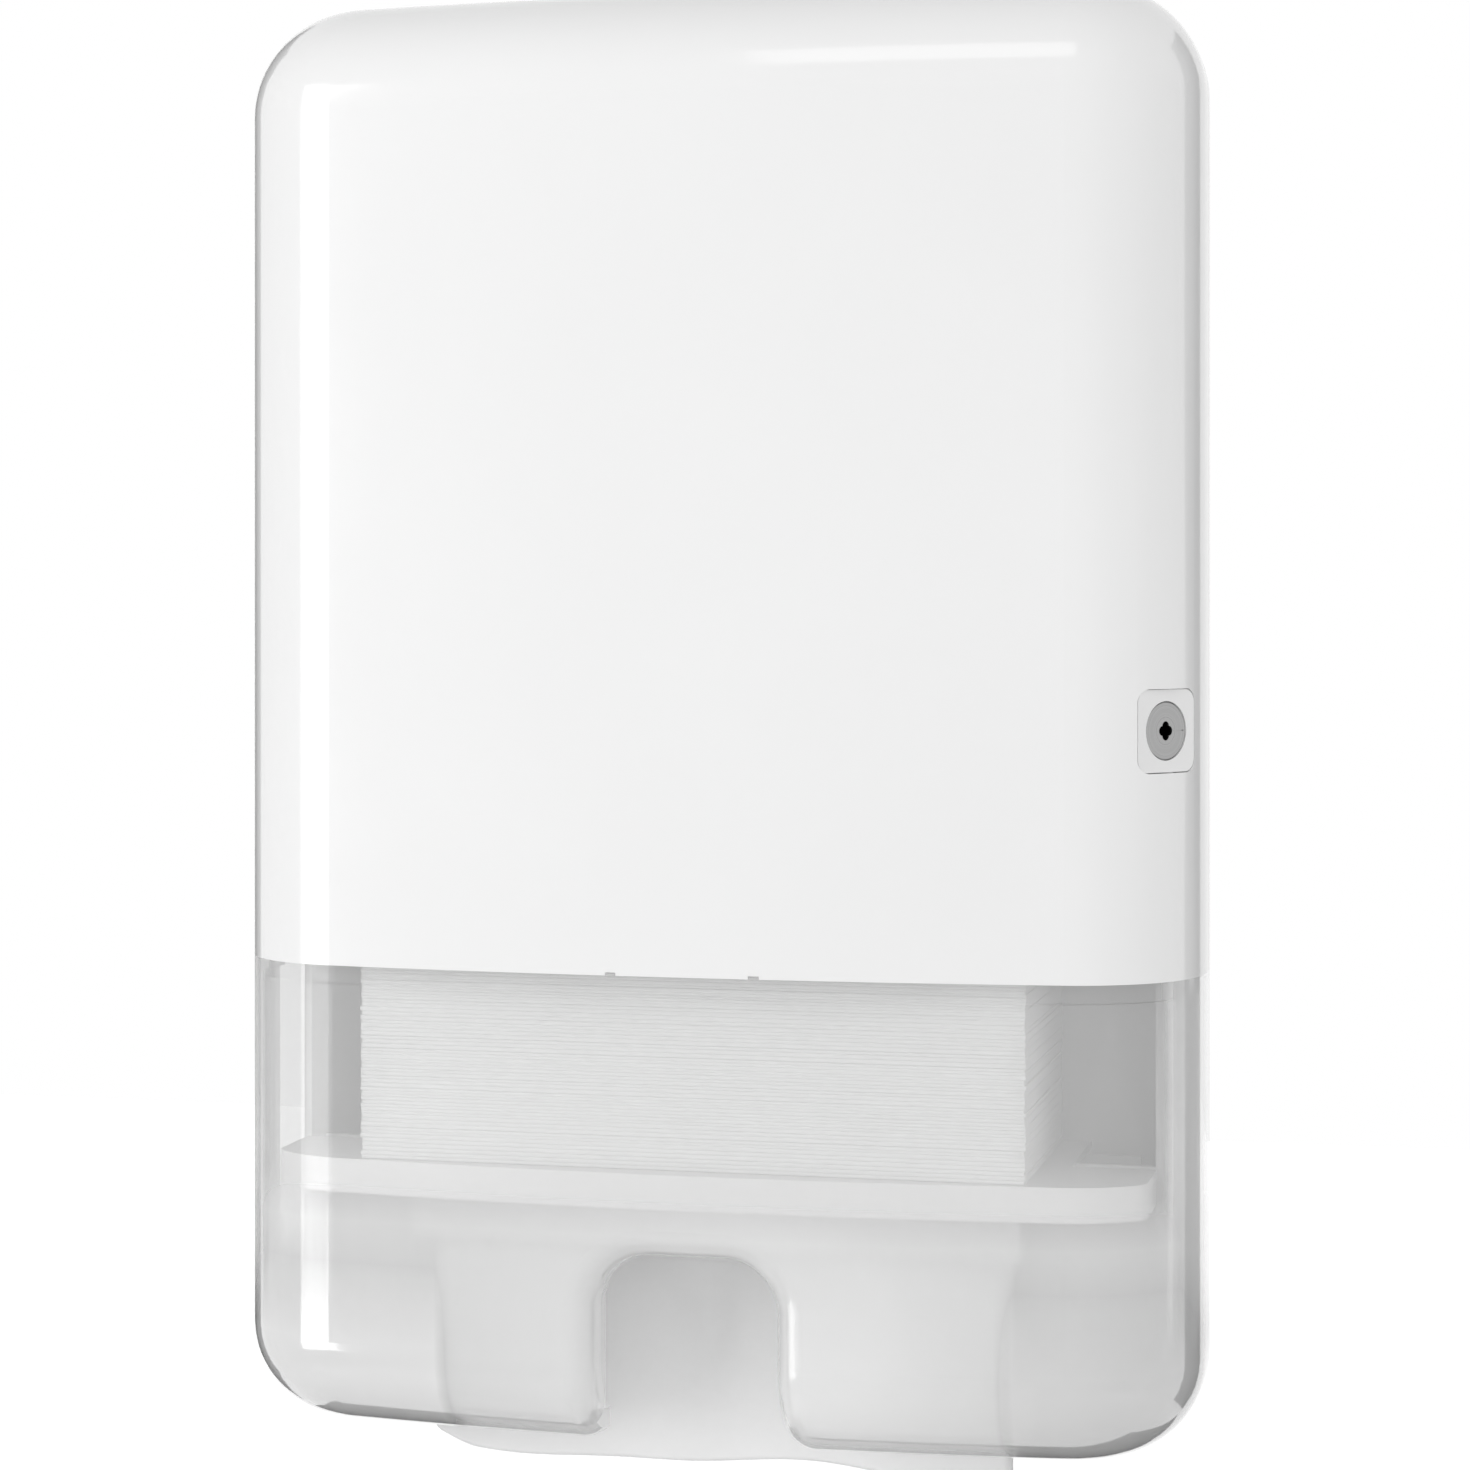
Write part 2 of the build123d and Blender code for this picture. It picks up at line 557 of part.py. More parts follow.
def hinge_clips():
    """The two retaining clips, open to the room side, in the grooves of the hinge pins."""
    stack = KNUCKLE_HEIGHT / 2 + MOVING_GAP + LUG_HEIGHT + MOVING_GAP
    clips = []
    for height in hinge_heights.values():
        frame = hinge_frame(height)
        low = -stack - CLIP_THICKNESS + SEAT_GAP
        high = -stack - SEAT_GAP
        ring = rod(frame, CLIP_RADIUS, low, high) - rod(frame, CLIP_GROOVE_RADIUS + THREAD_FIT, low - 1, high + 1)
        gap = CLIP_GROOVE_RADIUS * 0.8
        ring -= frame * prism((-gap, gap), (-CLIP_RADIUS - 1, 0), (low - 1, high + 1))
        clips.append(ring)
    return clips


rib_face = stack_back + MOVING_GAP
guide_flange_y = back_face - GUIDE_BOSS_LENGTH
guide_low = z_tray + GUIDE_ABOVE_TRAY
guide_high = housing_z - HOUSING_WALL - GUIDE_TOP_GAP
guide_screw_x = guide_x + GUIDE_THICKNESS + (GUIDE_FLANGE - GUIDE_THICKNESS) / 2
tray_flange_y = back_face - TRAY_BOSS_LENGTH
tray_screw_z = z_tray - TRAY_SCREW_DROP
pad_face = wall_face - KEEPER_PAD
keeper_face = pad_face - KEEPER_PLATE
keeper_front = housing_front + KEEPER_SET_BACK
keeper_z = z_lock + CAM_REACH + 2 * MOVING_GAP


def wall_hole_places():
    return [(sx * WALL_HOLE_SPACING_X / 2, sz * WALL_HOLE_SPACING_Z / 2) for sx in (-1, 1) for sz in (-1, 1)]


def towards_room(x, y, z):
    """A frame whose z axis points to the room, for screws and bosses on the back plate."""
    return Plane(origin=(x, y, z), x_dir=(1, 0, 0), z_dir=(0, -1, 0))


def guide_screw_places():
    heights = (guide_low + GUIDE_SCREW_MARGIN, (guide_low + guide_high) / 2, guide_high - GUIDE_SCREW_MARGIN)
    return [(side * guide_screw_x, z) for side in (-1, 1) for z in heights]


def keeper_screw_places():
    """Places (y, z) of the keeper's two screws on the housing's right wall."""
    y = keeper_front + KEEPER_LENGTH / 2
    z = keeper_z + KEEPER_ARM - KEEPER_HEIGHT / 2
    return [(y - KEEPER_SCREW_SPACING / 2, z), (y + KEEPER_SCREW_SPACING / 2, z)]


def back_housing():
    """The shallow tub on the wall, with its back flange, ribs, bosses and keeper pad."""
    body = prism((-housing_x, housing_x), (housing_front, 0), (-housing_z, housing_z))
    body = fillet(body.edges().filter_by(Axis.Y), HOUSING_CORNER)
    flange_x = half_width - HOUSING_FLANGE_SIDE_GAP
    flange_z = COVER_HEIGHT / 2 - HOUSING_FLANGE_END_GAP
    flange = prism((-flange_x, flange_x), (-HOUSING_FLANGE, 0), (-flange_z, flange_z))
    flange = fillet(flange.edges().filter_by(Axis.Y), HOUSING_CORNER + flange_x - housing_x)
    body += fillet(flange.faces().sort_by(Axis.Y)[0].edges(), HOUSING_EDGE_ROUND)
    inner_z = housing_z - HOUSING_WALL
    inside = prism((-wall_face, wall_face), (housing_front - 1, back_face), (-inner_z, inner_z))
    body -= fillet(inside.edges().filter_by(Axis.Y), HOUSING_CORNER - HOUSING_WALL)
    slot = housing_x - HOUSING_SLOT_MARGIN
    body -= prism((-slot, slot), (housing_front - 1, -HOUSING_FLOOR_DEPTH), (-housing_z - 1, -inner_z + 1))
    for x in RIB_X:
        edges_x = (x - RIB_THICKNESS / 2, x + RIB_THICKNESS / 2)
        body += prism(edges_x, (rib_face, back_face), (z_tray + MOVING_GAP, inner_z - RIB_TOP_MARGIN))
    for x, z in wall_hole_places():
        body -= rod(towards_room(x, 0, z), WALL_HOLE_RADIUS, -1, HOUSING_BACK + 1)
    for x, z in guide_screw_places():
        frame = towards_room(x, back_face, z)
        body += rod(frame, SCREW_BOSS_RADIUS, 0, GUIDE_BOSS_LENGTH - SEAT_GAP)
        body -= rod(frame, SCREW_RADIUS + THREAD_FIT, 0, GUIDE_BOSS_LENGTH + 1)
    for x in tray_screw_x:
        frame = towards_room(x, back_face, tray_screw_z)
        body += rod(frame, SCREW_BOSS_RADIUS, 0, TRAY_BOSS_LENGTH - SEAT_GAP)
        body -= rod(frame, SCREW_RADIUS + THREAD_FIT, 0, TRAY_BOSS_LENGTH + 1)
    pad_y = (keeper_front, keeper_front + KEEPER_LENGTH)
    pad_z = (keeper_z + KEEPER_ARM - KEEPER_HEIGHT, keeper_z + KEEPER_ARM)
    body += prism((pad_face + SEAT_GAP, wall_face + HOUSING_WALL / 2), pad_y, pad_z)
    for y, z in keeper_screw_places():
        frame = Plane(origin=(pad_face, y, z), x_dir=(0, 1, 0), z_dir=(1, 0, 0))
        body -= rod(frame, SCREW_RADIUS + THREAD_FIT, -1, KEEPER_PAD + HOUSING_WALL / 2)
    for frame in bracket_screw_frames(-wall_face):
        body -= rod(frame, SCREW_RADIUS + HOLE_FIT, -HOUSING_WALL - 1, 1)
    return body


def bracket_screw_frames(x):
    """Frames of the four screws that hold the hinge brackets, z axis out of the housing's left wall."""
    first = hinge_y + HINGE_BARREL_RADIUS + BRACKET_SCREW_MARGIN
    frames = []
    for height in hinge_heights.values():
        for y in (first, first + BRACKET_SCREW_SPACING):
            frames.append(Plane(origin=(x, y, z_bottom + height), x_dir=(0, 1, 0), z_dir=(1, 0, 0)))
    return frames


def hinge_brackets():
    """The two hinge brackets on the housing's left wall: knuckle, arm and screwed foot."""
    half = KNUCKLE_HEIGHT / 2
    foot_x = (-housing_x - BRACKET_WALL_GAP - BRACKET_THICKNESS, -housing_x - BRACKET_WALL_GAP)
    arm_y = (hinge_y - HINGE_BARREL_RADIUS, hinge_y + HINGE_BARREL_RADIUS)
    brackets = []
    for height in hinge_heights.values():
        z = (z_bottom + height - half, z_bottom + height + half)
        body = rod(hinge_frame(height), HINGE_BARREL_RADIUS, -half, half)
        body += prism((hinge_x, foot_x[1]), arm_y, z)
        body += prism(foot_x, (hinge_y, arm_y[1] + BRACKET_FOOT), z)
        body -= rod(hinge_frame(height), HINGE_PIN_RADIUS + THREAD_FIT, -half - 1, half + 1)
        brackets.append(body)
    for index, frame in enumerate(bracket_screw_frames(foot_x[1])):
        brackets[index // 2] -= rod(frame, SCREW_RADIUS + THREAD_FIT, -BRACKET_THICKNESS - 1, 1)
    return brackets


def bracket_screws():
    length = HOUSING_WALL + BRACKET_WALL_GAP + BRACKET_THICKNESS - MOVING_GAP
    return [standard_screw(f, length) for f in bracket_screw_frames(-wall_face)]


def latch_keeper():
    """The bracket on the housing's right wall whose nose stands in front of the locked cam."""
    plate = lock_frame()
    nose_out = cam_front - MOVING_GAP - KEEPER_NOSE_THICKNESS
    nose_in = cam_front - MOVING_GAP
    half = KEEPER_NOSE_HALF_WIDTH
    low = keeper_z - z_lock - KEEPER_NOSE_DROP
    high = keeper_z - z_lock + KEEPER_ARM / 2
    nose = prism((-half, half), (low, high), (-nose_in, -nose_out))
    body = plate * nose
    corners = [(half, -nose_out), (-half, -nose_out), (-half, -cam_back)]
    outline = [plate.from_local_coords((u, 0, w)) for u, w in corners]
    points = [(p.X, p.Y) for p in outline] + [(keeper_face, keeper_front), (pad_face, keeper_front)]
    arm = make_face(Polyline(*points, close=True))
    body += Pos(0, 0, keeper_z) * extrude(arm, KEEPER_ARM)
    span_y = (keeper_front - SEAT_GAP, keeper_front + KEEPER_LENGTH)
    span_z = (keeper_z + KEEPER_ARM - KEEPER_HEIGHT, keeper_z + KEEPER_ARM)
    body += prism((keeper_face, pad_face), span_y, span_z)
    for y, z in keeper_screw_places():
        frame = Plane(origin=(pad_face, y, z), x_dir=(0, 1, 0), z_dir=(1, 0, 0))
        body -= rod(frame, SCREW_RADIUS + HOLE_FIT, -KEEPER_PLATE - 1, 1)
    return body


def keeper_screws():
    length = KEEPER_PLATE + KEEPER_PAD + HOUSING_WALL / 2 - MOVING_GAP
    frames = [Plane(origin=(keeper_face, y, z), x_dir=(0, 1, 0), z_dir=(-1, 0, 0)) for y, z in keeper_screw_places()]
    return [standard_screw(f, length) for f in frames]


def tray_outline(inset):
    """The tray's plan in front of the housing: the cover's curve, cut off at both ends."""
    rear = housing_front - TRAY_END_GAP
    end = housing_x - TRAY_END_GAP
    sheet = extrude(plan_face(TRAY_FRONT_GAP, rear), 1) & prism((-end, end), (front_y, 0), (0, 1))
    corners = [e for e in sheet.edges().filter_by(Axis.Z) if e.center().Y < rear - 1 and abs(e.center().X) > end - 1]
    sheet = fillet(corners, TRAY_CORNER)
    face = sheet.faces().sort_by(Axis.Z)[-1]
    face = Pos(0, 0, -1) * face
    return offset(face, -inset) if inset else face


throat_mouth_half = THROAT_MOUTH / 2
throat_top = z_tray - TRAY_FLOOR + SEAT_GAP
ear_z = z_tray - TRAY_FLOOR - THROAT_EAR_DROP


def throat_screw_places():
    x = throat_half_width + THROAT_WALL + THROAT_EAR_LENGTH / 2
    return [(side * x, throat_y + dy * THROAT_SCREW_SPACING / 2) for side in (-1, 1) for dy in (-1, 1)]


def towel_tray():
    """The shelf under the towels: floor, curved front apron, panel behind the tail, rear flange and bosses."""
    z_floor = z_tray - TRAY_FLOOR
    rear = housing_front - TRAY_END_GAP
    body = Pos(0, 0, z_floor) * extrude(tray_outline(0), TRAY_FLOOR)
    inner = wall_face - TRAY_END_GAP / 2
    shelf = wall_face - TRAY_SHELF_MARGIN
    body += prism((-shelf, shelf), (rear - 1, back_face - MOVING_GAP), (z_floor, z_tray))
    panel_y = throat_y + throat_mouth_half + THROAT_WALL + TRAY_PANEL_BEHIND_THROAT
    panel_low = HOUSING_WALL + TRAY_PANEL_GAP - housing_z
    panel = prism((-inner, inner), (panel_y, panel_y + TRAY_PANEL_THICKNESS), (panel_low, z_floor + TRAY_FLOOR / 2))
    lower = [e for e in panel.edges().filter_by(Axis.Y) if e.center().Z < panel_low + 1]
    body += fillet(lower, HOUSING_CORNER - HOUSING_WALL)
    ring = tray_outline(0) - tray_outline(TRAY_APRON_THICKNESS)
    apron = Pos(0, 0, z_tray - TRAY_APRON_HEIGHT) * extrude(ring, TRAY_APRON_HEIGHT)
    body += apron - prism((-inner, inner), (rear - TRAY_APRON_THICKNESS - 1, 0), (z_tray - TRAY_APRON_HEIGHT - 1, z_floor))
    opening = throat_half_width + THROAT_WALL + HOLE_FIT
    mouth = throat_mouth_half + THROAT_WALL + HOLE_FIT
    body -= prism((-opening, opening), (throat_y - mouth, throat_y + mouth), (z_floor - 1, z_tray + 1))
    flange_x = max(tray_screw_x) + 2 * SCREW_BOSS_RADIUS
    flange_y = (tray_flange_y - TRAY_FLANGE_THICKNESS, tray_flange_y)
    body += prism((-flange_x, flange_x), flange_y, (z_tray - TRAY_FLANGE_HEIGHT, z_floor))
    for x in tray_screw_x:
        frame = towards_room(x, tray_flange_y, tray_screw_z)
        body -= rod(frame, SCREW_RADIUS + HOLE_FIT, -1, TRAY_FLANGE_THICKNESS + 1)
    for x, y in throat_screw_places():
        frame = Plane(origin=(x, y, z_floor))
        body += rod(frame, THROAT_BOSS_RADIUS, -THROAT_EAR_DROP, TRAY_FLOOR / 2)
        body -= rod(frame, SCREW_RADIUS + THREAD_FIT, -THROAT_EAR_DROP - 1, TRAY_FLOOR / 3)
    return body


def tray_screws():
    length = TRAY_FLANGE_THICKNESS + TRAY_BOSS_LENGTH - 2 * MOVING_GAP
    seat = tray_flange_y - TRAY_FLANGE_THICKNESS
    return [standard_screw(towards_room(x, seat, tray_screw_z), length) for x in tray_screw_x]


def throat_funnel(grow):
    """The tapering passage of the throat, grown outwards by its wall."""
    top = Rectangle(2 * (throat_half_width + grow), THROAT_MOUTH + 2 * grow)
    slot = Rectangle(2 * (throat_half_width - THROAT_TAPER + grow), THROAT_SLOT + 2 * grow)
    z_slot = z_bottom + THROAT_BOTTOM
    return loft([Pos(0, throat_y, z_slot) * slot, Pos(0, throat_y, z_tray) * top])


def dispensing_throat():
    """The chute under the tray's opening that the lowest towel hangs through."""
    body = throat_funnel(THROAT_WALL) - throat_funnel(0)
    low = ear_z - THROAT_EAR_THICKNESS - SEAT_GAP
    depth = (throat_y - THROAT_SCREW_SPACING, throat_y + THROAT_SCREW_SPACING)
    for side in (-1, 1):
        start = throat_half_width + THROAT_WALL / 2
        end = throat_half_width + THROAT_WALL + THROAT_EAR_LENGTH
        ear = prism((start, end), depth, (low, ear_z - SEAT_GAP))
        body += ear if side > 0 else mirror(ear, about=Plane.YZ)
    for x, y in throat_screw_places():
        body -= rod(Plane(origin=(x, y, low)), SCREW_RADIUS + HOLE_FIT, -1, THROAT_EAR_THICKNESS + 1)
    return body


def throat_screws():
    low = ear_z - THROAT_EAR_THICKNESS - SEAT_GAP
    length = THROAT_EAR_THICKNESS + THROAT_EAR_DROP
    frames = [Plane(origin=(x, y, low), x_dir=(1, 0, 0), z_dir=(0, 0, -1)) for x, y in throat_screw_places()]
    return [standard_screw(f, length) for f in frames]


def towel_guide(side):
    """One side guide: an upright plate beside the towels and its screw flange at the back."""
    z = (guide_low, guide_high)
    front = front_y + GUIDE_FRONT
    plate = prism((guide_x, guide_x + GUIDE_THICKNESS), (front, guide_flange_y), z)
    plate = fillet(plate.edges().filter_by(Axis.X).group_by(Axis.Y)[0], GUIDE_ROUND)
    flange_y = (guide_flange_y - GUIDE_THICKNESS, guide_flange_y)
    body = plate + prism((guide_x, guide_x + GUIDE_FLANGE), flange_y, z)
    for x, height in guide_screw_places():
        if x > 0:
            frame = towards_room(x, guide_flange_y, height)
            body -= rod(frame, SCREW_RADIUS + HOLE_FIT, -1, GUIDE_THICKNESS + 1)
    return body if side > 0 else mirror(body, about=Plane.YZ)


def guide_screws():
    length = GUIDE_THICKNESS + GUIDE_BOSS_LENGTH - MOVING_GAP
    seat = guide_flange_y - GUIDE_THICKNESS
    return [standard_screw(towards_room(x, seat, z), length) for x, z in guide_screw_places()]


def towel_stack():
    """The folded towels in the magazine, as one block."""
    left = -STACK_TO_LEFT - stack_width / 2
    low = z_tray + SEAT_GAP
    body = prism((left, left + stack_width), (stack_front, stack_back), (low, low + STACK_HEIGHT))
    return fillet(body.edges().filter_by(Axis.Z), STACK_EDGE)


def presented_towel():
    """The tail of the lowest towel: it hangs through the throat with both edges curled back."""
    half = tail_half_width
    curl = TAIL_CURL_RADIUS
    y = throat_y
    left = ThreePointArc((-half + curl, y + 2 * curl), (-half, y + curl), (-half + curl, y))
    right = ThreePointArc((half - curl, y), (half, y + curl), (half - curl, y + 2 * curl))
    middle = Spline((-half + curl, y), (-half / 2, y - 1.5), (0, y), (half / 2, y - 1.5), (half - curl, y),
                    tangents=((1, 0), (1, 0)))
    back_left = Line((-half + curl + TAIL_CURL_RETURN, y + 2 * curl), (-half + curl, y + 2 * curl))
    back_right = Line((half - curl, y + 2 * curl), (half - curl - TAIL_CURL_RETURN, y + 2 * curl))
    path = Wire([back_left, left, middle, right, back_right])
    section = trace(path, TAIL_THICKNESS)
    low = z_bottom - TAIL_BELOW_COVER
    body = Pos(0, 0, low) * extrude(section, z_tray - low)
    knots = [(-half - 1, low + TAIL_CORNER_RISE), (-half * 0.7, low + 0.3), (-half * 0.4, low + TAIL_WAVE),
             (0, low + 0.3), (half * 0.35, low + TAIL_WAVE), (half * 0.7, low + 0.5), (half + 1, low + TAIL_CORNER_RISE)]
    edge = Spline(*[(x, z) for x, z in knots])
    below = low - 10
    outline = [edge, Line(edge @ 1, (half + 1, below)), Line((half + 1, below), (-half - 1, below)),
               Line((-half - 1, below), edge @ 0)]
    cutter = extrude(Plane.XZ * make_face(outline), DEPTH, both=True)
    return body - cutter


def assembly():
    """Every piece by its node's name: a solid, or a list of separate solids."""
    shell = cover_shell()
    return {
        "upper_cover": upper_cover(shell),
        "cover_window": cover_window(shell),
        "window_screws": window_screws(),
        "lock_housing": lock_housing(),
        "lock_screws": lock_screws(),
        "lock_rotor": lock_rotor(),
        "lock_cam": lock_cam(),
        "cam_washer": cam_washer(),
        "cam_screw": cam_screw(),
        "back_housing": back_housing(),
        "hinge_brackets": hinge_brackets(),
        "bracket_screws": bracket_screws(),
        "upper_hinge_pin": hinge_pin(hinge_heights["upper"]),
        "lower_hinge_pin": hinge_pin(hinge_heights["lower"]),
        "hinge_clips": hinge_clips(),
        "latch_keeper": latch_keeper(),
        "keeper_screws": keeper_screws(),
        "towel_tray": towel_tray(),
        "tray_screws": tray_screws(),
        "dispensing_throat": dispensing_throat(),
        "throat_screws": throat_screws(),
        "left_towel_guide": towel_guide(-1),
        "right_towel_guide": towel_guide(1),
        "guide_screws": guide_screws(),
        "towel_stack": towel_stack(),
        "presented_towel": presented_towel(),
    }


os.makedirs("parts", exist_ok=True)
for node, shape in assembly().items():
    solids = shape if isinstance(shape, list) else [shape]
    whole = Compound([solid for piece in solids for solid in piece.solids()])
    export_step(whole, f"parts/{node}.step")
    print(f"{node}: {len(whole.solids())} solid(s), {whole.volume:.1f} mm3")
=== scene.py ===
# %% [markdown]
# # Multifold towel dispenser
# A washroom dispenser on a wall: a white cover with a milky window swings on a hinge at its left, and a round
# lock at its right holds it shut. Behind it a pack of folded paper towels stands on a tray, and the lowest
# towel hangs out below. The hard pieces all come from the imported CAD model, each a solid of its own. This
# lesson gives them their finishes, folds the towels, hangs the paper, and lights and frames the whole.

# %% The CAD pieces
import math
import random

import bmesh
import bpy
from mathutils import Matrix, Vector, noise


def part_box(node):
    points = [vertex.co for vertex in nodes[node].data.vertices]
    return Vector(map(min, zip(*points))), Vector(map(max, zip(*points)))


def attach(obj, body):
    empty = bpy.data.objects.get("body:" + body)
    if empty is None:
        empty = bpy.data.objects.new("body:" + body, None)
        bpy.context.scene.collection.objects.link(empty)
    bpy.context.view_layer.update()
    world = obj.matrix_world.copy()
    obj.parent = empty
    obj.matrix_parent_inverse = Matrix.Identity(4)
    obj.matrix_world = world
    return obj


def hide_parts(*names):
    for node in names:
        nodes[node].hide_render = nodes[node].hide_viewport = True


MM = 0.001
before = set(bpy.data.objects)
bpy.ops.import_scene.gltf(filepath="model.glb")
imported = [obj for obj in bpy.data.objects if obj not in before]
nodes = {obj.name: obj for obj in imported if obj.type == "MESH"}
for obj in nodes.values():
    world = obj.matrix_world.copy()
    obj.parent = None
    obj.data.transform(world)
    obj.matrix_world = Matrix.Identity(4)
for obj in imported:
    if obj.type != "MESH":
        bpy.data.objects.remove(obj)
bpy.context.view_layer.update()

# %% [markdown]
# ## Camera
# The real dispenser was photographed from its right, level with its upper half and through a long lens. The
# camera could be placed by eye until it looks right, or worked out from lines of the photograph. The second
# way is surer. The cover's width, the depth of its sides and the height of the horizon were given. The
# curve of the seam, the two side edges and the middle of the front then gave the turn, the lens and the
# place. The frame is shifted, as on a view camera, because a tilt would make the upright edges lean.

# %% The camera's place and lens
FRAME_PIXELS = 1470
FOCAL_PIXELS = 3471
AXIS_X, AXIS_Y = 704.7, 580.0
SENSOR = 36.0
CAMERA_PLACE = (0.2516, -1.1058, 0.0416)
CAMERA_TURN = 13.68
CLIP_NEAR, CLIP_FAR = 0.05, 30

camera_data = bpy.data.cameras.new("photo_camera")
camera = bpy.data.objects.new("photo_camera", camera_data)
bpy.context.scene.collection.objects.link(camera)
camera.location = CAMERA_PLACE
camera.rotation_euler = (math.radians(90), 0, math.radians(CAMERA_TURN))
bpy.context.scene.camera = camera
print("camera turned by", CAMERA_TURN, "degrees")

# %% The frame's shift
camera_data.sensor_width = SENSOR
camera_data.lens = SENSOR * FOCAL_PIXELS / FRAME_PIXELS
camera_data.shift_x = (FRAME_PIXELS / 2 - AXIS_X) / FRAME_PIXELS
camera_data.shift_y = (AXIS_Y - FRAME_PIXELS / 2) / FRAME_PIXELS
camera_data.clip_start, camera_data.clip_end = CLIP_NEAR, CLIP_FAR
bpy.context.scene.view_settings.view_transform = "Standard"
print("lens in mm:", round(camera_data.lens, 1))
print("shift of the frame:", round(camera_data.shift_x, 3), round(camera_data.shift_y, 3))

# %% [markdown]
# ## Glossy white cover
# The cover is injection moulded in white plastic from a polished mould. Its colour is almost even, but it
# mirrors a room with a slow ripple, because plastic shrinks unevenly as it cools, and close up it has a very
# fine grain. A picture texture could carry this, but it would need a flat layout of every shell. Noise that
# is read from Object coordinates needs none and sticks to the piece. So a finish is a short chain of nodes,
# and small helpers put in each kind of node.


# %% Helpers for nodes
def new_material(name):
    """A material, its node tree and its main shader."""
    material = bpy.data.materials.new(name)
    material.use_nodes = True
    return material, material.node_tree, material.node_tree.nodes["Principled BSDF"]


def add_node(tree, kind, values=None, links=None):
    """A node of that kind, with socket values and links given by socket name."""
    node = tree.nodes.new(kind)
    for name, value in (values or {}).items():
        node.inputs[name].default_value = value
    for name, source in (links or {}).items():
        tree.links.new(source, node.inputs[name])
    return node


def object_coordinates(tree):
    """Where a point lies on its piece, in metres."""
    return add_node(tree, "ShaderNodeTexCoord").outputs["Object"]


def noise_value(tree, vector, scale, detail=3.0, roughness=0.5):
    """Noise from 0 to 1: the scale is how many lumps there are in a metre."""
    values = {"Scale": scale, "Detail": detail, "Roughness": roughness}
    return add_node(tree, "ShaderNodeTexNoise", values, {"Vector": vector}).outputs["Fac"]


print("node helpers are ready")


# %% Helpers for colour, numbers and relief
NOISE_LOW, NOISE_HIGH = 0.3, 0.7


def between(tree, factor, low, high, from_low=NOISE_LOW, from_high=NOISE_HIGH):
    """A number that runs from low to high as factor runs over its own range, by default that of noise."""
    values = {"From Min": from_low, "From Max": from_high, "To Min": low, "To Max": high}
    return add_node(tree, "ShaderNodeMapRange", values, {"Value": factor}).outputs["Result"]


def tinted(tree, factor, low, high):
    """A colour that runs from low to high as factor runs over the range of noise."""
    ramp = add_node(tree, "ShaderNodeValToRGB", None, {"Fac": factor})
    stops = ((NOISE_LOW, low), (NOISE_HIGH, high))
    for stop, (position, colour) in zip(ramp.color_ramp.elements, stops):
        stop.position = position
        stop.color = (*colour, 1)
    return ramp.outputs["Color"]


def bumped(tree, height, distance, strength=1.0, under=None):
    """A normal with relief, laid over another relief where one is given."""
    links = {"Height": height}
    if under is not None:
        links["Normal"] = under
    node = add_node(tree, "ShaderNodeBump", {"Distance": distance, "Strength": strength}, links)
    return node.outputs["Normal"]


def grey(level):
    """A neutral colour of that level."""
    return (level,) * 3


print("colour and relief helpers are ready")


# %% Moulded plastic
CLOUDS_PER_METRE = 9.0
PATCHES_PER_METRE = 40.0
GRAINS_PER_METRE = 1400.0
RIPPLES_PER_METRE = 16.0
PLASTIC_IOR = 1.5
FINE_GRAIN = 0.004
SLOW_RIPPLE = 0.04


def set_inputs(shader, **values):
    """Constant shader inputs by name: Coat_Weight stands for Coat Weight."""
    for name, value in values.items():
        shader.inputs[name.replace("_", " ")].default_value = value


def moulded_plastic(name, colour, shade, roughness, grain=FINE_GRAIN, ripple=0.0):
    """Moulded plastic: a colour that hardly varies, a fine grain and, if glossy, a slow ripple."""
    material, tree, shader = new_material(name)
    place = object_coordinates(tree)
    cloud = noise_value(tree, place, CLOUDS_PER_METRE, 2.0)
    tree.links.new(tinted(tree, cloud, shade, colour), shader.inputs["Base Color"])
    patches = noise_value(tree, place, PATCHES_PER_METRE, 4.0)
    rough = between(tree, patches, roughness * 0.85, roughness * 1.2)
    tree.links.new(rough, shader.inputs["Roughness"])
    normal = bumped(tree, noise_value(tree, place, GRAINS_PER_METRE, 2.0), grain * MM, 0.5)
    if ripple:
        normal = bumped(tree, noise_value(tree, place, RIPPLES_PER_METRE, 1.0), ripple * MM, 0.6, normal)
    tree.links.new(normal, shader.inputs["Normal"])
    set_inputs(shader, IOR=PLASTIC_IOR)
    print("plastic", name, "has", len(tree.nodes), "nodes")
    return material, tree, shader


cover_white, _, cover_shader = moulded_plastic(
    "cover_white", grey(0.9), grey(0.885), 0.13, ripple=SLOW_RIPPLE)
set_inputs(cover_shader, Coat_Weight=0.4, Coat_Roughness=0.06)

# %% [markdown]
# ## Milky window
# The lower half of the cover is clear plastic with a little white in it: the towels show through it, paler
# than they are. Where one looks along a wall, as in its sides, there is more plastic in the way and it is
# denser. In its lower corners, where it is drawn round in two directions, it is denser too, and its colour is
# darkened to a painted shade of grey, less so at the left. Real scattering inside the wall needs many
# samples.
# Transmission would bend light twice and darken what lies behind. Alpha lets a share of the view through at
# once, so this window is glossy white plastic with an alpha that changes by place and painted shade in its
# lower corners.

# %% The window's plastic
WINDOW_ALPHA = 0.26
WINDOW_SIDE_ALPHA = 0.74
WINDOW_LOW_ALPHA = 0.44
WINDOW_CORNER_ALPHA = 0.88
# Painted shade: the grey that the window's lower corners are darkened to.
WINDOW_CORNER_PAINTED_SHADE = 0.68
SIDE_FROM, SIDE_TO = 0.8, 1.0
FROST_FROM, FROST_TO = -0.141, -0.155
CORNER_LEFT = (-0.0735, -0.0785)
CORNER_RIGHT = (0.093, 0.0985)
CORNER_LOW = (-0.158, -0.192)
# How much of the painted corner shade the left corner gets.
LEFT_CORNER_SHADE_SHARE = 0.62
WINDOW_GRAIN = 0.003

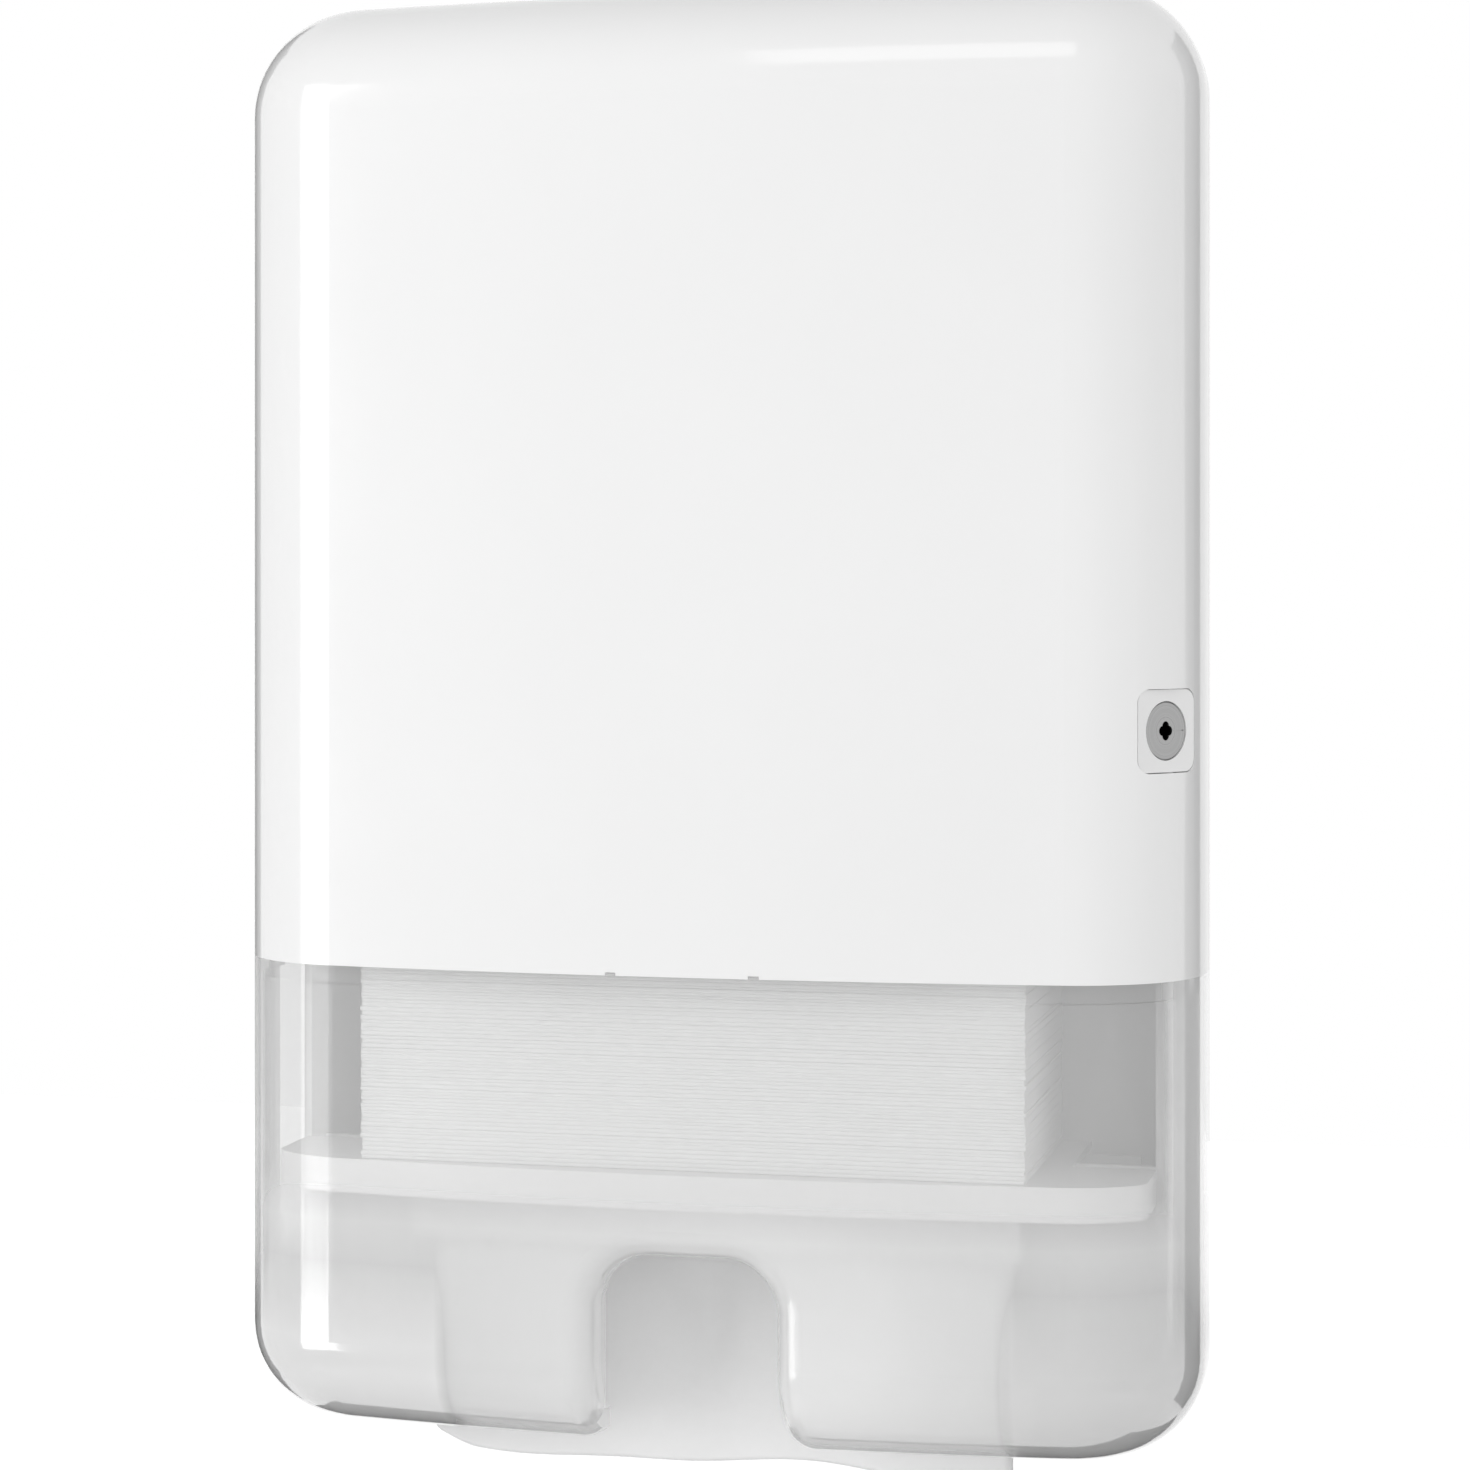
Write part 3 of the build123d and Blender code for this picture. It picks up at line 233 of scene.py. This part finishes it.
window_milky, window_tree, window_shader = moulded_plastic(
    "window_milky", grey(0.94), grey(0.91), 0.1, WINDOW_GRAIN, SLOW_RIPPLE)
set_inputs(window_shader, Specular_IOR_Level=1.0, Coat_Weight=1.0, Coat_IOR=1.7, Coat_Roughness=0.04)


# %% Sums with nodes
def operate(tree, kind, operation, sources):
    """A math or vector math node: each source is a socket, a number or a vector."""
    node = tree.nodes.new(kind)
    node.operation = operation
    for socket, source in zip(node.inputs, sources):
        if isinstance(source, bpy.types.NodeSocket):
            tree.links.new(source, socket)
        else:
            socket.default_value = source
    return node.outputs


def number(tree, operation, *sources):
    """The number that a math node makes."""
    return operate(tree, "ShaderNodeMath", operation, sources)["Value"]


def vector_math(tree, operation, *sources):
    """What a vector math node makes: a Vector and a Value."""
    return operate(tree, "ShaderNodeVectorMath", operation, sources)


def coordinates(tree, vector):
    """The X, Y and Z of a vector."""
    return add_node(tree, "ShaderNodeSeparateXYZ", None, {"Vector": vector}).outputs


def mixed(tree, factor, first, second):
    """The first colour, a socket, which gives way to the second one, a fixed colour."""
    links = {"Fac": factor, "Color1": first}
    return add_node(tree, "ShaderNodeMixRGB", {"Color2": (*second, 1)}, links).outputs["Color"]


print("helpers for sums are ready")


# %% The window's corners
def lower_corner(tree, place):
    """1 in the lower corners, beyond the hanging towel, and 0 elsewhere."""
    left = between(tree, place["X"], 0.0, 1.0, *CORNER_LEFT)
    right = between(tree, place["X"], 0.0, 1.0, *CORNER_RIGHT)
    low = between(tree, place["Z"], 0.0, 1.0, *CORNER_LOW)
    return number(tree, "MULTIPLY", number(tree, "MAXIMUM", left, right), low)


def painted_shade_in_corners(tree, shader, place, corner):
    """Painted shade: the plastic's colour darkened to grey in the lower corners, less so at the left."""
    paler = between(tree, place["X"], LEFT_CORNER_SHADE_SHARE, 1.0, CORNER_LEFT[0], CORNER_RIGHT[0])
    plain = shader.inputs["Base Color"].links[0].from_socket
    # Painted shade: the corners' colour is darkened towards grey, less at the left.
    colour = mixed(tree, number(tree, "MULTIPLY", corner, paler), plain, grey(WINDOW_CORNER_PAINTED_SHADE))
    tree.links.new(colour, shader.inputs["Base Color"])


print("corner alpha", WINDOW_CORNER_ALPHA, "and grey", WINDOW_CORNER_PAINTED_SHADE)


# %% The window's alpha
def frosted_by_place(tree, shader):
    """Alpha by place: clear in front of the towels, denser in the side walls and below the tray, with painted
    shade in the lower corners.
    """
    normal = add_node(tree, "ShaderNodeNewGeometry").outputs["Normal"]
    sideways = coordinates(tree, vector_math(tree, "ABSOLUTE", normal)["Vector"])["X"]
    side = between(tree, sideways, WINDOW_ALPHA, WINDOW_SIDE_ALPHA, SIDE_FROM, SIDE_TO)
    place = coordinates(tree, object_coordinates(tree))
    frost = between(tree, place["Z"], WINDOW_ALPHA, WINDOW_LOW_ALPHA, FROST_FROM, FROST_TO)
    corner = lower_corner(tree, place)
    dense = between(tree, corner, WINDOW_ALPHA, WINDOW_CORNER_ALPHA, 0.0, 1.0)
    alpha = number(tree, "MAXIMUM", side, number(tree, "MAXIMUM", frost, dense))
    tree.links.new(alpha, shader.inputs["Alpha"])
    painted_shade_in_corners(tree, shader, place, corner)


frosted_by_place(window_tree, window_shader)
print("window alpha from", WINDOW_ALPHA, "in front to", WINDOW_SIDE_ALPHA, "at the sides")

# %% [markdown]
# ## Satin white inside
# The housing on the wall, the tray, the throat and the guides are moulded too, but from a mould that was not
# polished, so they shine less. The lock's square housing is a small, glossy moulding. Each could be a
# material made from nothing. The same chain of nodes with other numbers does as well, and it keeps the
# plastics alike, as they are on the real dispenser.

# %% The other plastics
housing_white, _, _ = moulded_plastic("housing_white", grey(0.76), grey(0.73), 0.42)
tray_white, _, _ = moulded_plastic("tray_white", grey(0.87), grey(0.84), 0.36)
lock_white, _, _ = moulded_plastic("lock_white", grey(0.88), grey(0.86), 0.16)

# %% [markdown]
# ## Zinc-plated screws and pins
# Screws, pins, clips, cam and keeper are steel with a thin layer of zinc. They are tumbled together in the
# plating drum, which leaves cloudy patches and fine marks. One even metal would look like chrome. Noise in
# the colour and the roughness breaks the reflections up, and a stretched noise gives the marks a direction.


# %% Plated steel
STEEL_PATCHES_PER_METRE = 220.0
STEEL_SHADE = 0.82
MARKS_PER_METRE = 900.0
MARKS_STRETCH = (1.0, 1.0, 0.15)
MARKS_DEPTH = 0.01


def stretched(tree, source, scale):
    """Coordinates that are drawn out where the scale is small."""
    mapping = add_node(tree, "ShaderNodeMapping", {"Scale": scale}, {"Vector": source})
    return mapping.outputs["Vector"]


def plated_steel(name, colour, roughness):
    """Zinc-plated steel: faint cloudy patches and fine marks from tumbling."""
    material, tree, shader = new_material(name)
    place = object_coordinates(tree)
    patches = noise_value(tree, place, STEEL_PATCHES_PER_METRE, 5.0)
    low = tuple(c * STEEL_SHADE for c in colour)
    tree.links.new(tinted(tree, patches, low, colour), shader.inputs["Base Color"])
    marks = noise_value(tree, stretched(tree, place, MARKS_STRETCH), MARKS_PER_METRE, 4.0)
    tree.links.new(between(tree, marks, roughness * 0.7, roughness * 1.4), shader.inputs["Roughness"])
    tree.links.new(bumped(tree, marks, MARKS_DEPTH * MM, 0.5), shader.inputs["Normal"])
    set_inputs(shader, Metallic=1.0)
    print("metal", name, "has", len(tree.nodes), "nodes")
    return material


fastener_steel = plated_steel("fastener_steel", (0.62, 0.62, 0.64), 0.3)

# %% [markdown]
# ## Turned lock face
# The lock's disc is faced on a lathe, which leaves fine circles round its middle, and the key's socket in it
# is black. The circles could be a texture with rings, but rings have their centre at the piece's origin, and
# this disc sits askew on the cover's corner. So the distance from the lock's own axis is worked out from the
# Object coordinates, and noise along that distance makes the circles. The depth behind the face and the same
# distance tell where the socket is.

# %% The lock's axis
LOCK_PLACE = Vector((0.1415073, -0.0768395, -0.003))
LOCK_OUT = Vector((0.8110638, -0.5849577, 0.0))
SOCKET_RADIUS = (0.0031, 0.0033)
SOCKET_DEPTH = (-0.0012, -0.0007)
SOCKET_BLACK = 0.01
CIRCLES_PER_METRE = 2600.0
CIRCLES_DEPTH = 0.006
print("lock axis turned by", round(math.degrees(math.atan2(LOCK_OUT.y, LOCK_OUT.x)), 1), "degrees from X")


# %% The lock's metal
def from_lock_axis(tree):
    """How far a point lies from the lock's axis, and how far in front of the disc's face."""
    offset = vector_math(tree, "SUBTRACT", object_coordinates(tree), LOCK_PLACE)["Vector"]
    depth = vector_math(tree, "DOT_PRODUCT", offset, LOCK_OUT)["Value"]
    beside = vector_math(tree, "CROSS_PRODUCT", offset, LOCK_OUT)["Vector"]
    return vector_math(tree, "LENGTH", beside)["Value"], depth


def lock_metal_material():
    """The rotor's face: a fine circular turning, and a blackened key socket in its middle."""
    material, tree, shader = new_material("lock_metal")
    radius, depth = from_lock_axis(tree)
    rings = add_node(tree, "ShaderNodeCombineXYZ", None, {"X": radius})
    turning = noise_value(tree, rings.outputs["Vector"], CIRCLES_PER_METRE, 3.0)
    deep = between(tree, depth, 1.0, 0.0, *SOCKET_DEPTH)
    near = between(tree, radius, 1.0, 0.0, *SOCKET_RADIUS)
    face = tinted(tree, turning, grey(0.35), grey(0.47))
    colour = mixed(tree, number(tree, "MULTIPLY", deep, near), face, grey(SOCKET_BLACK))
    tree.links.new(colour, shader.inputs["Base Color"])
    tree.links.new(between(tree, turning, 0.24, 0.38), shader.inputs["Roughness"])
    tree.links.new(bumped(tree, turning, CIRCLES_DEPTH * MM, 0.6), shader.inputs["Normal"])
    set_inputs(shader, Metallic=1.0)
    print("metal lock_metal has", len(tree.nodes), "nodes")
    return material


lock_metal = lock_metal_material()

# %% [markdown]
# ## Towel paper
# Towels are creped tissue: the paper is scraped off a drying drum in tiny ridges, and short fibres stand on
# it. Real hairs would cost far too much for what is seen of them. Two reliefs do instead, ridges drawn out
# along the towel's width and a finer one for the fibres, with a dull surface and a little sheen that lifts
# the edges. The pack is a shade darker than the single sheet, because less light gets in between the folds.


# %% Creped paper
MOTTLES_PER_METRE = 260.0
CREPES_PER_METRE = 1500.0
CREPE_STRETCH = (0.12, 1.0, 1.0)
FIBRES_PER_METRE = 2600.0
FIBRES_DEPTH = 0.03


def paper_material(name, colour, shade, crepe):
    """Towel tissue: matt, faintly mottled, creped across its width and lightly fibrous."""
    material, tree, shader = new_material(name)
    place = object_coordinates(tree)
    mottle = noise_value(tree, place, MOTTLES_PER_METRE, 5.0, 0.6)
    tree.links.new(tinted(tree, mottle, shade, colour), shader.inputs["Base Color"])
    ridges = noise_value(tree, stretched(tree, place, CREPE_STRETCH), CREPES_PER_METRE, 3.0)
    normal = bumped(tree, ridges, crepe * MM, 0.6)
    fibres = noise_value(tree, place, FIBRES_PER_METRE, 4.0, 0.7)
    tree.links.new(bumped(tree, fibres, FIBRES_DEPTH * MM, 0.5, normal), shader.inputs["Normal"])
    set_inputs(shader, Roughness=0.92, Specular_IOR_Level=0.2, Sheen_Weight=0.15, Sheen_Roughness=0.6)
    print("paper", name, "has", len(tree.nodes), "nodes")
    return material


stack_paper = paper_material("stack_paper", grey(0.92), grey(0.87), 0.035)
towel_paper = paper_material("towel_paper", grey(0.96), grey(0.94), 0.05)

# %% [markdown]
# ## Dressing the CAD pieces
# Every solid gets the finish of what it is made of on the real dispenser. The finish could be put on each
# mesh, but a mesh belongs to the CAD model. Here it is linked to the object, which leaves the mesh as it is.

# %% Which piece gets which finish
FINISHES = [
    (cover_white, ["upper_cover"]),
    (window_milky, ["cover_window"]),
    (lock_white, ["lock_housing"]),
    (lock_metal, ["lock_rotor"]),
    (housing_white, ["back_housing", "hinge_brackets"]),
    (tray_white, ["towel_tray", "dispensing_throat", "left_towel_guide", "right_towel_guide"]),
    (fastener_steel, [
        "window_screws", "lock_screws", "lock_cam", "cam_washer", "cam_screw", "upper_hinge_pin",
        "lower_hinge_pin", "hinge_clips", "bracket_screws", "latch_keeper", "keeper_screws", "tray_screws",
        "throat_screws", "guide_screws"]),
]
for material, names in FINISHES:
    for name in names:
        solid = nodes[name]
        if not solid.material_slots:
            solid.data.materials.append(material)
        for place in solid.material_slots:
            place.link = "OBJECT"
            place.material = material
    print(material.name, "on", len(names), "pieces")

# %% [markdown]
# ## Pack of folded towels
# Multifold towels lie in the dispenser as a pack of some two hundred, folded once and laid into one another.
# From the front each shows a round fold, a little further out or in than its neighbours. One block with a
# striped texture would be quick, but its edge would be a straight line. Each towel is therefore its own thin
# slab: a cube that is stretched to size, whose front and back edges a bevel rolls round. A few faces are
# enough for each, because there are so many.

# %% One folded towel
TOWEL_THICKNESS = 1.15
FOLD_STEPS = 2
FOLD_SHARE = 0.3


def folded_towel(pack, low, high):
    """One folded towel between two corners: a slab whose front and back edges are rolled round."""
    centre = (low + high) / 2
    slab = Matrix.LocRotScale(centre, None, high - low)
    corners = bmesh.ops.create_cube(pack, size=1.0, matrix=slab)["verts"]
    left = [corner for corner in corners if corner.co.x < centre.x]
    folds = [edge for corner in left for edge in corner.link_edges if edge.other_vert(corner).co.x > centre.x]
    bmesh.ops.bevel(pack, geom=folds, offset=FOLD_SHARE * (high.z - low.z), segments=FOLD_STEPS,
                    profile=0.5, affect="EDGES", material=-1)


print("a towel is", TOWEL_THICKNESS, "mm thick on average")


# %% The whole pack
THICKNESS_SPREAD = (0.72, 1.28)
FRONT_PLAY = 0.4
BACK_PLAY = 1.2
SIDE_PLAY = 0.7


def mesh_object(name, mesh_data, material, smooth=True):
    """An object at the origin with that mesh and material."""
    mesh = bpy.data.meshes.new(name)
    mesh_data.to_mesh(mesh)
    mesh_data.free()
    mesh.materials.append(material)
    for face in mesh.polygons:
        face.use_smooth = smooth
    made = bpy.data.objects.new(name, mesh)
    bpy.context.scene.collection.objects.link(made)
    sides = [round(side / MM, 1) for side in made.dimensions]
    print(name, "has", len(mesh.polygons), "faces, size in mm:", sides)
    return made


def towel_pack():
    """Folded towels of slightly uneven thickness and place, which together fill the magazine's pack."""
    rng = random.Random(5)
    low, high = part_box("towel_stack")
    count = round((high.z - low.z) / (TOWEL_THICKNESS * MM))
    steps = [rng.uniform(*THICKNESS_SPREAD) for _ in range(count)]
    share = (high.z - low.z) / sum(steps)
    pack = bmesh.new()
    z = low.z
    for step in steps:
        top = z + step * share
        front = low.y + rng.uniform(0.0, FRONT_PLAY) * MM
        back = high.y - rng.uniform(0.0, BACK_PLAY) * MM
        left = low.x + rng.uniform(0.0, SIDE_PLAY) * MM
        right = high.x - rng.uniform(0.0, SIDE_PLAY) * MM
        folded_towel(pack, Vector((left, front, z)), Vector((right, back, top)))
        z = top
    print("towels in the pack:", count)
    return mesh_object("folded_towels", pack, stack_paper, smooth=False)


folded = towel_pack()
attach(folded, "housing")
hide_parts("towel_stack")

# %% [markdown]
# ## Hanging towel
# The lowest towel comes down through the throat and hangs behind the notch. Paper keeps the bends that it
# had in the pack: its side edges curl backwards, a finger has left a dent in its middle, and its lower edge
# waves. A cloth simulation would drape it like fabric, softer than tissue is. Here the sheet starts as a
# fine grid, and each of its points is moved to where stiff paper would be. A Solidify modifier then gives it
# a thickness.

# %% Measures of the sheet
SHEET_COLUMNS = 150
SHEET_ROWS = 72
CURL_RADIUS = 3.0
CURL_TAIL = 5.0
SIDE_MARGIN = 0.8
FRONT_MARGIN = 2.4
TOP_MARGIN = 0.2
PAPER_THICKNESS = 0.25

tail_low, tail_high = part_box("presented_towel")
towel_half = (tail_high.x - tail_low.x) / 2 / MM - SIDE_MARGIN
towel_front = tail_low.y / MM + FRONT_MARGIN
towel_top = tail_high.z / MM - TOP_MARGIN
towel_bottom = tail_low.z / MM
towel_reach = towel_half - CURL_RADIUS + math.pi * CURL_RADIUS + CURL_TAIL
print("sheet laid flat in mm:", round(2 * towel_reach, 1), "x", round(towel_top - towel_bottom, 1))


# %% The curl of its sides
def across(u):
    """Where a point at a distance u along the sheet's width is: x, and how far it has curled back."""
    flat = towel_half - CURL_RADIUS
    side = 1 if u >= 0 else -1
    rest = abs(u) - flat
    if rest <= 0:
        return u, 0.0
    if rest <= math.pi * CURL_RADIUS:
        angle = rest / CURL_RADIUS
        return side * (flat + CURL_RADIUS * math.sin(angle)), CURL_RADIUS * (1 - math.cos(angle))
    return side * (flat - (rest - math.pi * CURL_RADIUS)), 2 * CURL_RADIUS


print("the sides curl back by", 2 * CURL_RADIUS, "mm")

# %% The wave of its lower edge
EDGE_RISE = 1.8
EDGE_WAVES = ((1.1, 0.052, 0.6), (0.7, 0.095, -1.3))
LEFT_CORNER_X, LEFT_CORNER_RUN, LEFT_CORNER_RISE, LEFT_CORNER_POWER = -78, 15, 4.5, 1.5
RIGHT_CORNER_X, RIGHT_CORNER_RUN, RIGHT_CORNER_RISE, RIGHT_CORNER_POWER = 82, 11, 1.5, 2


def lower_edge(x):
    """How far above its lowest place the sheet's lower edge is, in millimetres."""
    wave = sum(height * math.sin(pace * x + start) for height, pace, start in EDGE_WAVES)
    left = LEFT_CORNER_RISE * max(0.0, (LEFT_CORNER_X - x) / LEFT_CORNER_RUN) ** LEFT_CORNER_POWER
    right = RIGHT_CORNER_RISE * max(0.0, (x - RIGHT_CORNER_X) / RIGHT_CORNER_RUN) ** RIGHT_CORNER_POWER
    return EDGE_RISE + wave + left + right


print("the lower edge lies", round(lower_edge(-90), 1), "mm up near its left corner")

# %% The finger's dent
DENT_DEPTH = 5.0
DENT_CENTRE = (-4.0, -176.0)
DENT_WIDTH = 10.0
DENT_TRAIL = 2.6
DENT_FROM, DENT_RUN = -160, 22


def dent(x, z):
    """How far the finger's dent pushes the paper back, in millimetres."""
    below = max(0.0, min(1.0, (DENT_FROM - z) / DENT_RUN))
    dx, dz = x - DENT_CENTRE[0], z - DENT_CENTRE[1]
    high = DENT_WIDTH * (1.0 if dz > 0 else DENT_TRAIL)
    return DENT_DEPTH * math.exp(-(dx / DENT_WIDTH) ** 2 - (dz / high) ** 2) * below


print("the dent is", round(dent(*DENT_CENTRE), 1), "mm deep at its centre")

# %% The sheet
SWAY, SWAY_PACE, SWAY_START, SWAY_AT_TOP = 0.9, 0.045, 0.5, 0.25
CRINKLE, CRINKLE_PACE, CRINKLE_SEED = 0.25, (0.06, 0.05), 3.1


def hung_point(u, share):
    """Where a point of the sheet hangs: u runs across it, and share from 0 at its top to 1 at its bottom."""
    x, back = across(u)
    z = towel_top + (towel_bottom + lower_edge(x) - towel_top) * share
    sway = SWAY * math.sin(x * SWAY_PACE + SWAY_START) * (SWAY_AT_TOP + (1 - SWAY_AT_TOP) * share)
    spot = Vector((x * CRINKLE_PACE[0], z * CRINKLE_PACE[1], CRINKLE_SEED))
    crinkle = CRINKLE * noise.noise(spot) * share
    return Vector((x, towel_front + back + dent(x, z) + sway + crinkle, z)) * MM


sheet = bmesh.new()
bmesh.ops.create_grid(sheet, x_segments=SHEET_COLUMNS, y_segments=SHEET_ROWS, size=1.0)
for point in sheet.verts:
    point.co = hung_point(towel_reach * point.co.x, (1 - point.co.y) / 2)
towel = mesh_object("hanging_towel", sheet, towel_paper)
towel.modifiers.new("ply", "SOLIDIFY").thickness = PAPER_THICKNESS * MM
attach(towel, "housing")
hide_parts("presented_towel")

# %% [markdown]
# ## Lamps
# In the photograph a tall soft light at the left draws a bright stripe down the cover's left corner, a small
# one above brightens the top, and the right side is filled in. Point lamps would give hard spots. Area lamps
# show in gloss as the panels that a studio has, and their size sets how soft the shadows are. Each lamp is
# given by how bright its face looks, because a larger lamp of equal brightness then needs no new number.

# %% The lamps
STRIP_RADIANCE = 2.9
TOP_RADIANCE = 1.5
FILL_RADIANCE = 1.25


def facing(place, target):
    """The turn of something at a place whose front, its -Z, looks at a target."""
    return (Vector(target) - Vector(place)).to_track_quat("-Z", "Y")


def area_light(name, place, target, width, height, radiance, glossy=True):
    """A rectangular lamp that faces a point, of the given radiance."""
    data = bpy.data.lights.new(name, "AREA")
    data.shape = "RECTANGLE"
    data.size = width
    data.size_y = height
    data.energy = radiance * math.pi * width * height
    lamp = bpy.data.objects.new(name, data)
    lamp.location = place
    lamp.rotation_euler = facing(place, target).to_euler()
    lamp.visible_camera = False
    lamp.visible_glossy = glossy
    bpy.context.scene.collection.objects.link(lamp)
    print(name, "gives", round(data.energy, 2), "watts")


area_light("left_strip", (-1.05, -0.95, 0.05), (-0.12, -0.07, 0), 0.64, 1.5, STRIP_RADIANCE)
area_light("top_light", (0.1, -1.2, 1.1), (0, -0.05, 0.1), 0.7, 0.4, TOP_RADIANCE)
area_light("right_fill", (1.9, -0.9, 0.1), (0.1, -0.05, 0), 1.2, 1.6, FILL_RADIANCE, glossy=False)

# %% [markdown]
# ## White surroundings
# The dispenser is shown before plain white. A white wall close behind it would throw its light on the cover
# and wash out its sides. The world can be white for the eye alone: Light Path tells whether a ray comes
# straight from the camera, from gloss or through something clear, and those see a strength of 1. As a light
# the world is weaker, most of all from behind and from the left, which gives the cover its soft shading.

# %% The world
SURROUND_LIGHT = 0.335
SURROUND_SLOPE = (0.25, -0.585, 0.0)
SURROUND_LEAST = 0.22


def seen_directly(tree):
    """1 for what the camera sees straight, in a reflection or through something clear, and 0 for light."""
    path = add_node(tree, "ShaderNodeLightPath")
    mirrored = number(tree, "MAXIMUM", path.outputs["Is Glossy Ray"], path.outputs["Is Transmission Ray"])
    return number(tree, "MAXIMUM", path.outputs["Is Camera Ray"], mirrored)


def surround():
    """The world: white to the eye and in reflections, and as a light dimmer, most so from behind."""
    world = bpy.data.worlds.new("studio")
    bpy.context.scene.world = world
    world.use_nodes = True
    tree = world.node_tree
    back = tree.nodes["Background"]
    back.inputs["Color"].default_value = (1, 1, 1, 1)
    direction = add_node(tree, "ShaderNodeTexCoord").outputs["Generated"]
    tilt = vector_math(tree, "DOT_PRODUCT", direction, SURROUND_SLOPE)["Value"]
    spread = number(tree, "MAXIMUM", number(tree, "ADD", tilt, SURROUND_LIGHT), SURROUND_LEAST)
    tree.links.new(number(tree, "MAXIMUM", spread, seen_directly(tree)), back.inputs["Strength"])
    print("world", world.name, "lights with", SURROUND_LEAST, "at least")


surround()

# %% [markdown]
# ## Floor
# Nothing stands under a dispenser on a wall, so the floor lies far below it. It only closes the view when
# one looks from above. A bright floor would show through the window as a line, so its own glow is kept below
# white and adds to the light that falls on it. One square of a grid is all that it needs.

# %% The floor
FLOOR_LEVEL = -1.1
FLOOR_HALF = 6.0
FLOOR_GLOW = 0.7


def pale_floor():
    """A large white square whose glow is only seen and doesn't light the dispenser."""
    material, tree, shader = new_material("floor_white")
    set_inputs(shader, Base_Color=(*grey(0.9), 1), Roughness=0.8)
    glow_level = number(tree, "MULTIPLY", seen_directly(tree), FLOOR_GLOW)
    glow = add_node(tree, "ShaderNodeEmission", {"Color": (1, 1, 1, 1)}, {"Strength": glow_level})
    both = add_node(tree, "ShaderNodeAddShader")
    tree.links.new(shader.outputs["BSDF"], both.inputs[0])
    tree.links.new(glow.outputs["Emission"], both.inputs[1])
    tree.links.new(both.outputs["Shader"], tree.nodes["Material Output"].inputs["Surface"])
    floor = bmesh.new()
    level = Matrix.Translation((0, 0, FLOOR_LEVEL))
    bmesh.ops.create_grid(floor, x_segments=1, y_segments=1, size=FLOOR_HALF, matrix=level)
    mesh_object("floor", floor, material)


pale_floor()

# %% [markdown]
# ## Black cards
# White plastic before white would lose its outline. Photographers stand black boards beside such a thing,
# out of the picture: they darken the rim of the gloss and draw the edge. Dark lines painted on the cover
# would stay when the view changes, while the boards are mirrored where they should be. Each is a square of a
# grid that is stretched, turned to the dispenser and hidden from the camera.


# %% The cards
def dark_card(name, place, target, width, height):
    """A black board, out of the picture, that faces a point and shows in reflections."""
    material, _, shader = new_material(name + "_black")
    set_inputs(shader, Base_Color=(*grey(0.02), 1), Roughness=0.9)
    card = bmesh.new()
    bmesh.ops.create_grid(card, x_segments=1, y_segments=1, size=0.5)
    bmesh.ops.scale(card, vec=(width, height, 1), verts=card.verts)
    turn = facing(place, target).to_matrix().to_4x4()
    bmesh.ops.transform(card, matrix=turn, verts=card.verts)
    bmesh.ops.translate(card, vec=place, verts=card.verts)
    made = mesh_object(name, card, material)
    made.visible_camera = False


dark_card("left_card", (-0.95, 0.75, 0.0), (-0.12, -0.05, 0), 0.5, 1.8)
dark_card("right_card", (0.95, 0.75, 0.0), (0.12, -0.05, 0), 0.6, 1.8)
dark_card("low_card", (0.0, 0.35, -0.8), (0, -0.05, -0.2), 1.0, 0.5)
